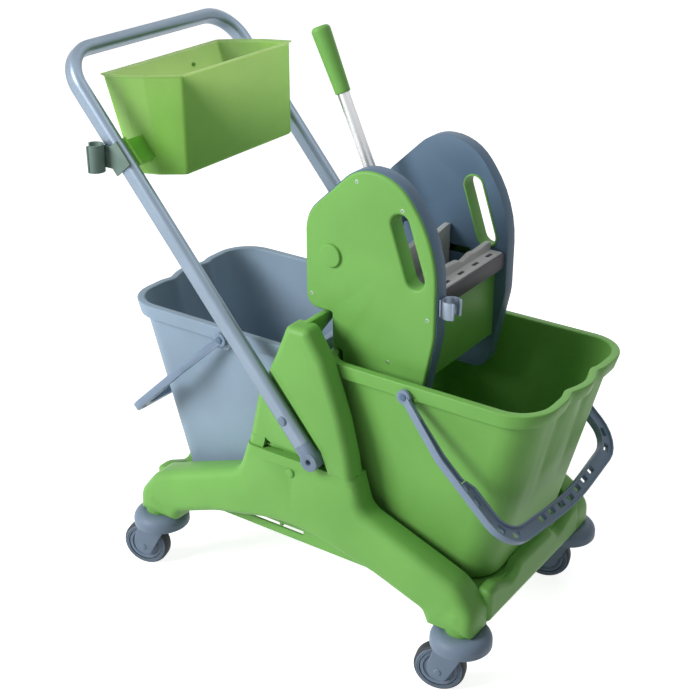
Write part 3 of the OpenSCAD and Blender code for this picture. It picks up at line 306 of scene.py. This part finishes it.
# Joins rings of equal length with quads, and closes the first and last ring with a face or joins them to each other
def addRings(name, rings, finish, body, replaced=(), loop=False, crease=35):
    rings = np.asarray(rings, float) / 1000
    m, n = rings.shape[:2]
    index = np.arange(m * n).reshape(m, n)
    if loop:
        index = np.vstack([index, index[:1]])
    a, b = index[:-1], np.roll(index, -1, 1)[:-1]
    c, d = np.roll(index, -1, 1)[1:], index[1:]
    faces = np.stack([a, b, c, d], -1).reshape(-1, 4).tolist()
    if not loop:
        faces += [index[0].tolist(), index[-1].tolist()]
    mesh = bpy.data.meshes.new(name)
    mesh.from_pydata(rings.reshape(-1, 3).tolist(), [], faces)
    work = bmesh.new()
    work.from_mesh(mesh)
    bmesh.ops.remove_doubles(work, verts=work.verts, dist=least["apart"])
    bmesh.ops.recalc_face_normals(work, faces=work.faces)
    work.to_mesh(mesh)
    work.free()
    mesh.polygons.foreach_set("use_smooth", [True] * len(mesh.polygons))
    mesh.set_sharp_from_angle(angle=math.radians(crease))
    mesh.materials.append(finish)
    thing = bpy.data.objects.new(name, mesh)
    bpy.context.scene.collection.objects.link(thing)
    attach(thing, body)
    if replaced:
        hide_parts(*replaced)
    return thing


# The rings run up the outside from "foot", over "rim" and down to "inside", each as (height or drop, outset)
wasteBin = {
    "front": -234.0, "floor": 702.0, "height": 154.0, "depth": 157.0, "narrow": 108.0, "half": 132.0, "bulge": 12.0,
    "wall": 2.5, "slope": 7.0, "folds": ((0.42, 1.0), (0.76, 0.9)), "backBulge": 0.4, "corner": 5, "fold": 3,
    "foot": [(0, -4), (1.2, -1.4), (4, 0)], "inside": [(6, -2.5), (2.5, -5.5)], "steps": 6, "crease": 14,
    "rim": [(5, 0), (3, 0.6), (1.6, 3.0), (0, 3.0), (0, 1.8), (1.4, 0.4), (4, -2.5)],
}


def binDepth(height, spec=wasteBin):
    return spec["narrow"] + (spec["depth"] - spec["narrow"]) * np.clip(height / spec["height"], 0, 1)


# Height above the bin's floor to Z: the bin leans, so it rises towards the front
def binZ(x, height, spec=wasteBin):
    return spec["floor"] + height + math.tan(math.radians(spec["slope"])) * (x - spec["front"])


# Bin ring: a straight front, end walls folded twice that bulge outwards, a straight back
def binRing(height, grow, spec=wasteBin):
    depth = binDepth(height)
    front, back = spec["front"] + grow, spec["front"] - depth - grow
    half, bulge = spec["half"] + grow, spec["bulge"]
    end = [(front, half, spec["corner"])]
    end += [(front - share * depth, half + part * bulge, spec["fold"]) for share, part in spec["folds"]]
    end += [(back, half + spec["backBulge"] * bulge, spec["corner"])]
    xy = outline([(x, -y, r) for x, y, r in end[::-1]] + end, steps=spec["steps"])
    return np.column_stack([xy, binZ(xy[:, 0], height)])


def makeBin(spec=wasteBin):
    rings = spec["foot"] + [(spec["height"] - drop, grow) for drop, grow in spec["rim"]] + spec["inside"]
    addRings("basket_bin", [binRing(h, g) for h, g in rings], lime, "handle", ["basket"],
             crease=spec["crease"])


pegs = {"y": (-58.0, 62.0), "down": 26.0, "radius": 3.2, "root": -2.0, "out": 4.0, "round": 1.6, "steps": 24}


# Pegs on the bin's back wall: round heads, their radius falling off towards the front
def makePegs(spec=pegs, box=wasteBin):
    high = box["height"] - spec["down"]
    wall = box["front"] - binDepth(high) + box["wall"]
    along, inset = np.transpose(plateLevels(spec["root"], spec["out"], spec["round"], roundSteps["edge"]))
    for number, across in enumerate(spec["y"]):
        rings = turned(across, binZ(wall, high), spec["radius"] - inset, wall + along, spec["steps"])
        addRings(f"basket_peg_{number}", rings[..., [1, 0, 2]], lime, "handle")


makeBin()
makePegs()
print("basket made")

# Each dip's point is (distance from the end, level, radius)
apron = {"ends": 149.0, "bottom": 117.0, "top": 172.0, "dip": 155.0, "back": 304.0, "face": 325.0, "grow": 1.5,
         "round": 11.0, "corner": 6, "steps": 6,
         "dips": [(26, "top", 40), (64, "dip", 28), (76, "dip", 12), (96, "top", 14)]}


# Apron: the outline with its two dips, carried outwards in X and drawn in along a quarter round at the outer face
def makeApron(name, side, spec=apron):
    end, corner = spec["ends"], spec["corner"]
    half = [(end, spec["bottom"], corner), (end, spec["top"], corner)]
    half += [(end - away, spec[level], r) for away, level, r in spec["dips"]]
    shape = half + [(-y, z, r) for y, z, r in half[::-1]]
    levels = plateLevels(spec["back"], spec["face"], spec["round"], roundSteps["large"])
    rings = [np.insert(outline(shape, i - spec["grow"], spec["steps"]), 0, side * x, 1) for x, i in levels]
    addRings(name, rings, green, "chassis")


makeApron("apron_front", 1)
makeApron("apron_rear", -1)
print("aprons made")

# Corners are (x, z, radius). The sleeve's points are (outset from the slot, distance from the shell's inner face)
housing = {
    "corners": [(38.4, 400, 12), (170, 400, 25), (197, 535, 120), (197, 675, 190), (128, 764, 78), (62, 762, 64),
                (-25, 680, 60), (-25, 534.5, 20), (21, 534.5, 3), (21, 476.8, 1), (38.4, 476.8, 4)],
    "face": 117.5, "coverBack": 112.5, "shellIn": 90.0, "edge": 4.0, "steps": 14, "between": 8, "crease": 40,
}
handSlot = {"top": (137.0, 695.0), "run": (0.324, -0.946), "length": 80.0, "radius": 15.0, "edge": 4.5,
            "play": 0.25, "sleeve": [(0, -1.2), (0.8, -1.8), (2.4, -1.5), (3.0, 0.3), (0.25, 0.3)]}


# Slot: a rectangle with half round ends, sampled where a ray from its middle meets it at each angle
def slotLoop(angles, grow, spec=handSlot):
    run = np.array(spec["run"])
    r, length = spec["radius"] + grow, spec["length"] / 2
    ray = np.stack([np.cos(angles), np.sin(angles)], -1)
    along, across = ray @ run, ray @ np.array([-run[1], run[0]])
    flat = r / np.maximum(np.abs(across), least["across"])
    cap = length * np.abs(along) + np.sqrt(np.maximum(r ** 2 - (length * across) ** 2, 0))
    reach = np.where(np.abs(flat * along) <= length, flat, cap)
    return np.array(spec["top"]) + run * length + ray * reach[:, None]


# Cover: rings from its back edge round the outer edge over the face, into the slot, and along its sleeve to a
# rolled lip inside the shell and back
def makeCover(name, node, side, spec=housing, slot=handSlot):
    share = np.linspace(0, 1, spec["between"] + 1)[:-1]

    def outer(moved):
        ring = outline(spec["corners"], moved, spec["steps"])
        step = np.roll(ring, -1, 0) - ring
        return (ring[:, None, :] + step[:, None, :] * share[None, :, None]).reshape(-1, 2)

    middle = np.array(slot["top"]) + np.array(slot["run"]) * slot["length"] / 2
    angles = np.arctan2(*(outer(0) - middle).T[::-1])
    inset, short = quarter(spec["edge"], roundSteps["rim"])
    lip, deep = quarter(slot["edge"], roundSteps["rim"])
    levels = [(outer(0), spec["coverBack"])]
    levels += [(outer(i), spec["face"] - s) for i, s in zip(inset, short)]
    levels += [(slotLoop(angles, g), spec["face"] - s) for g, s in zip(lip[::-1], deep[::-1])]
    levels += [(slotLoop(angles, g), spec["shellIn"] + s) for g, s in slot["sleeve"]]
    levels += [(slotLoop(angles, slot["play"]), spec["coverBack"])]
    rings = [np.insert(points, 1, side * y, 1) for points, y in levels]
    addRings(name, rings, green, "wringer", [node], loop=True, crease=spec["crease"])


# The foot's rings are (outset, height above the cover)
boss = {"x": 20.5, "z": 625.0, "radius": 18.0, "out": 4.5, "round": 2.2, "foot": [(1.5, -1.0), (0.4, 0.3)],
        "steps": 72}


# Cap: a round disc on the cover, its radius falling off along a quarter round at the rim
def makeCap(name, side, spec=boss, face=housing["face"]):
    inset, short = quarter(spec["round"], roundSteps["rim"])
    grow, lift = np.transpose(spec["foot"])
    radius = spec["radius"] + np.concatenate([grow, -inset])
    height = np.concatenate([lift, spec["out"] - short])
    rings = turned(spec["x"], spec["z"], radius, side * (face + height), spec["steps"])
    addRings(name, rings, green, "wringer")


# Heads and drives are given as radii and as heights above the cover
screws = {
    "points": [(65, 745), (141, 717), (-15, 557), (185, 563), (120, 480)], "steps": 32,
    "head": ([3.4, 3.4, 2.8, 1.9, 1.9], [-3.0, -0.3, 0.25, 0.35, -1.0]),
    "drive": ([1.95, 1.95, 0.2], [-2.0, -0.1, -0.3]),
}


# Screws: turned heads in one stack of rings each, dished in the middle, with a black round disc in the drive that
# is painted shade
def makeScrews(side, tag, spec=screws, face=housing["face"]):
    for number, (x, z) in enumerate(spec["points"]):
        head, drive = (turned(x, z, radii, side * (face + np.array(heights)), spec["steps"])
                       for radii, heights in (spec["head"], spec["drive"]))
        addRings(f"screw_head_{tag}_{number}", head, steel, "wringer",
                 ["cover_screws"] if (tag, number) == ("near", 0) else ())
        # Painted shade: a black disc stands for the shadow inside the drive recess
        addRings(f"screw_drive_shade_{tag}_{number}", drive, gearBlackAndShade, "wringer")


for tag, side in sides.items():
    makeCover("cover_" + tag, "wringer_cover_" + tag, side)
    makeCap("pivot_cap_" + tag, side)
    makeScrews(side, tag)
print("wringer covers made")

pail = {
    "middle": 8.0, "gap": 22.0, "length": 372.0, "width": 312.0, "rim": 475.0, "floor": 160.0, "out": 10.0,
    "wall": 3.0, "endDraft": 76.0, "innerDraft": 12.0, "sideDraft": 18.0, "outer": 52.0, "inner": 40.0,
    "spout": 5.0, "spoutWidth": 22.0, "kink": 5.0, "kinkAt": 42.0, "kinkWidth": 13.0, "fade": 1.6, "band": 22.0,
    "skirt": 2.5, "bandEdge": 0.6, "seat": 0.3, "footRound": 8.0, "footHigh": 14.0, "rimRound": 2.0, "rimDeep": 6.0,
    "turnSteps": 12, "lipSteps": 64, "wallSteps": 14, "crease": 32,
}


# Pail ring: a rounded rectangle that narrows with depth. Its outer end has a bulge between two kinks, each a bell
# curve over the width that fades out down the wall
def pailRing(z, grow, at, spec=pail):
    low = (spec["rim"] - at) / (spec["rim"] - spec["floor"])
    fade = max(0.0, 1 - spec["fade"] * low)
    x0 = spec["gap"] / 2 + spec["out"] + spec["innerDraft"] * low - grow
    x1 = spec["gap"] / 2 + spec["length"] - spec["out"] - spec["spout"] - spec["endDraft"] * low + grow
    w = spec["width"] / 2 - spec["out"] - spec["sideDraft"] * low + grow
    ri, ro = spec["inner"] + grow, spec["outer"] + grow
    turn = np.radians(np.linspace(0, 90, spec["turnSteps"] + 1))
    c, s = np.cos(turn), np.sin(turn)
    y = np.linspace(ro - w, w - ro, spec["lipSteps"] + 1)[1:-1]
    lip = spec["spout"] * np.exp(-(y / spec["spoutWidth"]) ** 2)
    lip -= spec["kink"] * np.exp(-((np.abs(y) - spec["kinkAt"]) / spec["kinkWidth"]) ** 2)
    x = np.concatenate([x0 + ri - ri * c, x1 - ro + ro * s, x1 + fade * lip, x1 - ro + ro * c, x0 + ri - ri * s])
    y = np.concatenate([ri - w - ri * s, ro - w - ro * c, y, w - ro + ro * s, w - ri + ri * c])
    return np.column_stack([x, y, np.full(len(x), z)])


# Pail: rings up the outer wall, under and over the rim band, and down the inner wall, each as (height, outset, the
# height that its outline belongs to)
def makePail(name, sign, finish, spec=pail):
    top, out, wall, skirt = spec["rim"], spec["out"], spec["wall"], spec["out"] - spec["skirt"]
    band, base, edge = top - spec["band"], spec["floor"] + spec["seat"], spec["bandEdge"]
    foot, count = base + spec["footHigh"], spec["wallSteps"]
    inset, short = quarter(spec["footRound"], roundSteps["rim"])
    turn, drop = quarter(spec["rimRound"], roundSteps["edge"])
    rings = [(base + i, -d, base + i) for i, d in zip(inset, short)]
    rings += [(z, 0, z) for z in np.linspace(foot, top - wall, count)]
    rings += [(top - wall, skirt, top - wall), (band, skirt, band)]
    rings += [(band, out - edge, band), (band + edge, out, band)]
    rings += [(top - d, out - i, top) for i, d in zip(turn, drop)]
    rings += [(top - d, i - wall, top) for i, d in zip(turn[::-1], drop[::-1])]
    rings += [(z, -wall, z) for z in np.linspace(top - spec["rimDeep"], foot, count)]
    rings += [(base + wall + i, -d - wall, base + wall + i) for i, d in zip(inset[::-1], short[::-1])]
    stack = np.array([pailRing(*ring) for ring in rings]) * (sign, 1, 1) + (spec["middle"], 0, 0)
    addRings(name + "_shell", stack, finish, name, [name], crease=spec["crease"])


pivot = {"x": 168.0, "z": 458.0, "in": 143.0, "face": 156.0, "tip": 165.2, "radius": 5.5, "half": 20.0,
         "taper": 9.0, "drop": 18.0, "rise": 4.0, "footRound": 3.0, "topRound": 1.0, "edge": 1.5, "steps": 32}


# Bail pivot: a tapered lug under the rim, and a turned pin with a round end
def makePivot(name, sign, tag, finish, spec=pivot, box=pail):
    x, z, half = spec["x"], spec["z"], spec["half"]
    foot, low, top = half - spec["taper"], z - spec["drop"], box["rim"] - box["band"] + spec["rise"]
    shape = [(x - foot, low, spec["footRound"]), (x + foot, low, spec["footRound"]),
             (x + half, top, spec["topRound"]), (x - half, top, spec["topRound"])]
    flip, place = (sign, sides[tag], 1), (box["middle"], 0, 0)
    levels = plateLevels(spec["in"], spec["face"], spec["edge"], roundSteps["small"])
    lug = [np.insert(outline(shape, i, cornerSteps["small"]), 1, y, 1) * flip + place for y, i in levels]
    addRings(f"{name}_lug_{tag}", lug, finish, name)
    depth, inset = np.transpose(plateLevels(spec["in"], spec["tip"], spec["edge"], roundSteps["small"]))
    pin = turned(x, z, spec["radius"] - inset, depth, spec["steps"]) * flip + place
    addRings(f"{name}_pin_{tag}", pin, darkGrey, name)


pails = [("front_bucket", 1, green, "green_plastic"), ("rear_bucket", -1, pailGrey, "grey_bucket")]
for name, sign, finish, slot in pails:
    makePail(name, sign, finish)
    for tag in sides:
        makePivot(name, sign, tag, finish)
print("pails made")

# The edge beside the tube runs from the pivot at a tilt. "ends" are places along it, "shoulder" is the corner past
# its upper end, and "front" is where the lower front corner starts on the parting line and how it moves with height
cheek = {
    "parting": 308.0, "pivot": (38.0, 325.1), "tilt": 39.8, "beside": 18.0, "ends": (4, 148), "endRounds": (14, 6),
    "corners": [(99, 340, 60), (85, 400, 160), (54, 487, 60), (26, 531.9, 12), (-10, 531.9, 12)],
    "shoulder": (3, 8, 10), "front": (104, 0.158), "heel": 10, "lift": 0.6, "in": 166.0, "face": 192.4,
    "round": 12.0, "grow": 0.4,
}


# Tower cheek: the raised outer face beside the handle tube, with one round edge. Its lower end stays on the
# parting line
def makeCheek(name, side, spec=cheek):
    t = math.radians(spec["tilt"])
    along, ahead = np.array([-math.sin(t), math.cos(t)]), np.array([math.cos(t), math.sin(t)])
    low, high = (np.array(spec["pivot"]) + s * along + spec["beside"] * ahead for s in spec["ends"])
    right, up, bend = spec["shoulder"]
    upper = spec["corners"] + [(high[0] + right, high[1] + up, bend)]
    upper += [(*point, r) for point, r in zip((high, low), spec["endRounds"][::-1])]
    start, slant = spec["front"]
    rings = []
    for y, moved in plateLevels(spec["in"], spec["face"], spec["round"], roundSteps["large"]):
        moved -= spec["grow"]
        foot = spec["parting"] + spec["lift"] - moved
        lower = [(low[0] + spec["heel"], foot), (start + slant * (spec["parting"] - foot), foot)]
        shape = [(*point, least["radius"]) for point in lower] + upper
        rings.append(np.insert(outline(shape, moved), 1, side * y, 1))
    addRings(name, rings, green, "chassis")


# An end is its x at the parting line, its slope with height, and how far the round at the face draws it in
bands = {
    "rail_lip": {"z": (293.0, 307.8), "left": (-97.0, 0.315, 1.05), "right": (104.0, -0.296, -1.05), "face": 187.0,
                 "lean": 0.085},
    "tower_foot": {"z": (308.5, 325.0), "left": (-97.0, 0.229, 1.03), "right": (-65.0, 0.3, 0.0), "face": 183.0,
                   "lean": 0.0},
}
bandEdge = {"round": 15.0, "deep": 22.0, "grow": 0.3}


# Bands that close the parting line: four corners per ring. Each end runs straight with height and is drawn in along
# a quarter round towards the face, and the face leans out downwards
def makeBand(name, side, spec, edge=bandEdge, parting=cheek["parting"]):
    low, high = spec["z"]
    z = np.array([low, low, high, high]) - parting
    start, slope, drawnIn = np.transpose([spec["left"], spec["right"], spec["right"], spec["left"]])
    grow = edge["grow"] * np.array([-1, 1, 1, -1])
    back, face = spec["face"] - edge["deep"], spec["face"] + edge["grow"]
    rings = []
    for y, moved in plateLevels(back, face, edge["round"], roundSteps["large"]):
        x = start + slope * z + drawnIn * moved + grow
        rings.append(np.column_stack([x, side * (y - spec["lean"] * z), z + parting]))
    addRings(name, rings, green, "chassis")


for tag, side in sides.items():
    makeCheek("tower_cheek_" + tag, side)
    for name, spec in bands.items():
        makeBand(f"{name}_{tag}", side, spec)
print("tower faces made")

# Corners are (y, z, radius)
jaw = {
    "x": (163.0, 172.0), "round": 2.0, "steps": 6,
    "corners": [(-87.7, 520, 3), (87.7, 520, 3), (87.7, 614.5, 4), (74, 614.5, 8), (41, 612.5, 12), (28, 615, 8),
                (3, 609.5, 6), (-10, 615, 6), (-45, 617.5, 12), (-87.7, 617.5, 5)],
}


# Front jaw: a plate with a wavy top edge, carried through its thickness with round edges
def makeJaw(spec=jaw):
    inset, short = quarter(spec["round"], roundSteps["edge"])
    back, face = spec["x"]
    levels = [(back + d, i) for i, d in zip(inset[::-1], short[::-1])]
    levels += [(face - d, i) for i, d in zip(inset, short)]
    rings = [np.insert(outline(spec["corners"], i, spec["steps"]), 0, x, 1) for x, i in levels]
    addRings("jaw_plate_front", rings, pale, "wringer", ["front_jaw"])


# The slots are thin black plates: painted shade over the pockets at the jaw's foot
ledge = {"x": (171.5, 192.5), "y": (-86.0, 86.0), "z": (598.5, 602.0), "corner": 2.5,
         "slots": (-62.0, -21.0, 21.0, 62.0), "slotX": (179.3, 185.7), "slotHalf": 8.0, "slotZ": (601.0, 602.2),
         "slotCorner": 1.6}


# Slab: a rectangle with round corners, carried upwards and drawn in along a quarter round at the top
def makeSlab(name, x, y, z, corner, finish):
    shape = [(x[0], y[0], corner), (x[1], y[0], corner), (x[1], y[1], corner), (x[0], y[1], corner)]
    levels = plateLevels(*z, min(corner, z[1] - z[0]) / 2, roundSteps["small"])
    rings = [np.insert(outline(shape, i, cornerSteps["small"]), 2, height, 1) for height, i in levels]
    addRings(name, rings, finish, "wringer")


# Ledge on the bar in front of the jaw: a low slab with four black plates on it, painted shade standing for the
# shadowed pockets
def makeLedge(spec=ledge):
    makeSlab("jaw_ledge", spec["x"], spec["y"], spec["z"], spec["corner"], pale)
    for number, y in enumerate(spec["slots"]):
        makeSlab(f"ledge_slot_shade_{number}", spec["slotX"], (y - spec["slotHalf"], y + spec["slotHalf"]), spec["slotZ"],
                 spec["slotCorner"], gearBlackAndShade)


makeJaw()
makeLedge()
print("front jaw made")

springs = {"handle": {"body": "handle", "turns": 4}, "rail": {"body": "chassis", "turns": 3}}
spring = {"wire": 0.7, "travel": 3.0, "steps": 24, "sides": 10}


# Button spring: a round wire carried along a helix in the room of its node
def makeSpring(kind, tag, spec=spring):
    name = f"{kind}_spring_{tag}"
    points = np.empty(len(nodes[name].data.vertices) * 3)
    nodes[name].data.vertices.foreach_get("co", points)
    low, high = points.reshape(-1, 3).min(0) * 1000, points.reshape(-1, 3).max(0) * 1000
    wire, turns = spec["wire"], springs[kind]["turns"]
    share = np.linspace(0, 1, turns * spec["steps"] + 1)[:, None]
    turn, section = 2 * np.pi * turns * share, around(spec["sides"])
    radius = (high[0] - low[0]) / 2 - wire + wire * np.cos(section)
    x = (low[0] + high[0]) / 2 + radius * np.cos(turn)
    z = (low[2] + high[2]) / 2 + radius * np.sin(turn)
    y = low[1] + wire + (high[1] - low[1] - 2 * wire) * share + wire * np.sin(section)
    coil = addRings(f"{kind}_coil_{tag}", np.stack([x, y, z], -1), steel, springs[kind]["body"], [name])
    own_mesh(coil)


for kind in springs:
    for tag, side in sides.items():
        makeSpring(kind, tag)
print("springs made")

# Places and the plate's corners are in a caster's own axes. The tyre wall's rings are (radius, place across)
caster = {
    "x": 294.0, "y": 177.0, "heading": 197.0, "trail": 30.0, "axle": 40.0,
    "at": {"rn": (-1, -1), "fn": (1, -1), "ff": (1, 1), "rf": (-1, 1)},
    "plate": [(17, 27, 12.6), (43, 27, 12.6), (46, 54, 14), (32, 98, 3), (-20, 98, 3)], "plateY": (14.9, 19.7),
    "plateRound": 1.2,
    "tyreWall": [(30.6, 10.0), (30.6, 11.35), (32.5, 11.35), (33.0, 10.65), (33.5, 11.35), (35.3, 11.35),
                 (36.5, 10.4), (36.1, 9.6)],
    "steps": 72, "crease": 50,
}


# From a caster's own axes (ahead along the trail, across, up) to the frame: a turn by the heading, then a shift
def casterPlace(points, tag, spec=caster):
    t = math.radians(spec["heading"])
    signX, signY = spec["at"][tag]
    x, y, z = np.moveaxis(np.asarray(points, float), -1, 0)
    frameX = x * math.cos(t) - y * math.sin(t) + signX * spec["x"]
    frameY = x * math.sin(t) + y * math.cos(t) + signY * spec["y"]
    return np.stack([frameX, frameY, z], -1)


# Fork cheek: a plate that tapers from the hood to a round end about the axle, with one round edge outside
def makeCheekPlate(tag, end, side, spec=caster):
    levels = plateLevels(*spec["plateY"], spec["plateRound"], roundSteps["edge"])
    rings = [np.insert(outline(spec["plate"], i), 1, side * y, 1) for y, i in levels]
    addRings(f"cheek_{tag}_{end}", casterPlace(rings, tag), casterGrey, "caster_" + tag)


# Tyre wall: a turned ring on each side of the tyre with a fine groove
def makeTyreWall(tag, end, side, spec=caster):
    radius, across = np.transpose(spec["tyreWall"])
    rings = turned(spec["trail"], spec["axle"], radius, side * across, spec["steps"])
    addRings(f"tyre_wall_{tag}_{end}", casterPlace(rings, tag), wallGrey, "wheel_" + tag, loop=True,
             crease=spec["crease"])


for tag in caster["at"]:
    for end, side in (("a", -1), ("b", 1)):
        makeCheekPlate(tag, end, side)
        makeTyreWall(tag, end, side)
print("casters dressed")

# Studio: a white floor that keeps the shadow, a broad key light and three fills. A lamp is its name, place, power
# and size
studio = {"floor": 14.0, "floorColor": (0.72, 0.72, 0.72, 1), "floorRough": 0.9, "lift": 0.85, "world": 0.13,
          "aim": (0, 0, 0.4), "white": (1, 1, 1, 1), "black": (0, 0, 0, 1)}
view = {"place": (1.0587, -1.5883, 1.3439), "azimuth": 34.34, "elevation": 25.83, "lens": 68.66, "sensor": 36.0}
lamps = [
    ("key", (-2.0, -3.0, 2.2), 158.0, 1.8),
    ("top", (0.0, -0.8, 3.6), 10.0, 2.2),
    ("over", (0.6, 0.3, 1.9), 4.5, 0.9),
    ("back", (-0.6, 3.2, 2.4), 12.0, 2.4),
]
seenRays = ("Is Camera Ray", "Is Glossy Ray", "Is Transmission Ray")  # these see the white background


def addTurned(name, data, place, ahead):
    thing = bpy.data.objects.new(name, data)
    thing.location = place
    thing.rotation_euler = ahead.to_track_quat("-Z", "Y").to_euler()
    bpy.context.scene.collection.objects.link(thing)
    return thing


def addLamp(name, place, power, size):
    lamp = bpy.data.lights.new(name, "AREA")
    lamp.energy, lamp.size = power, size
    addTurned(name, lamp, place, Vector(studio["aim"]) - Vector(place))


def addCamera(spec):
    az, el = math.radians(spec["azimuth"]), math.radians(spec["elevation"])
    forward = Vector((-math.sin(az) * math.cos(el), math.cos(az) * math.cos(el), -math.sin(el)))
    lensData = bpy.data.cameras.new("photoCamera")
    lensData.lens, lensData.sensor_width, lensData.sensor_fit = spec["lens"], spec["sensor"], "AUTO"
    bpy.context.scene.camera = addTurned("photoCamera", lensData, spec["place"], forward)


def addFloor(spec):
    half = spec["floor"]
    mesh = bpy.data.meshes.new("floor")
    mesh.from_pydata([(-half, -half, 0), (half, -half, 0), (half, half, 0), (-half, half, 0)], [], [(0, 1, 2, 3)])
    finish = Finish("paleFloor")
    seen = sum(finish.node("ShaderNodeLightPath", out=ray) for ray in seenRays)
    finish.set(Base_Color=spec["floorColor"], Roughness=spec["floorRough"],
               Emission_Color=finish.mix(seen, spec["black"], spec["white"]), Emission_Strength=spec["lift"])
    mesh.materials.append(finish.material)
    thing = bpy.data.objects.new("floor", mesh)
    bpy.context.scene.collection.objects.link(thing)


# World: white for the rays that see it, and a dim fill for the others
def setWorld(spec):
    world = bpy.data.worlds.new("softRoom")
    world.use_nodes = True
    bpy.context.scene.world = world
    tree = world.node_tree
    back = tree.nodes["Background"]
    back.inputs["Color"].default_value = spec["white"]
    path = tree.nodes.new("ShaderNodeLightPath")
    level = tree.nodes.new("ShaderNodeMix")
    level.inputs[2].default_value, level.inputs[3].default_value = spec["world"], 1.0
    seen = path.outputs[seenRays[0]]
    for ray in seenRays[1:]:
        both = tree.nodes.new("ShaderNodeMath")
        tree.links.new(seen, both.inputs[0])
        tree.links.new(path.outputs[ray], both.inputs[1])
        seen = both.outputs[0]
    tree.links.new(seen, level.inputs[0])
    tree.links.new(level.outputs[0], back.inputs["Strength"])


addFloor(studio)
addCamera(view)
setWorld(studio)
for lamp in lamps:
    addLamp(*lamp)
bpy.context.scene.view_settings.view_transform = "Standard"
print("studio set")
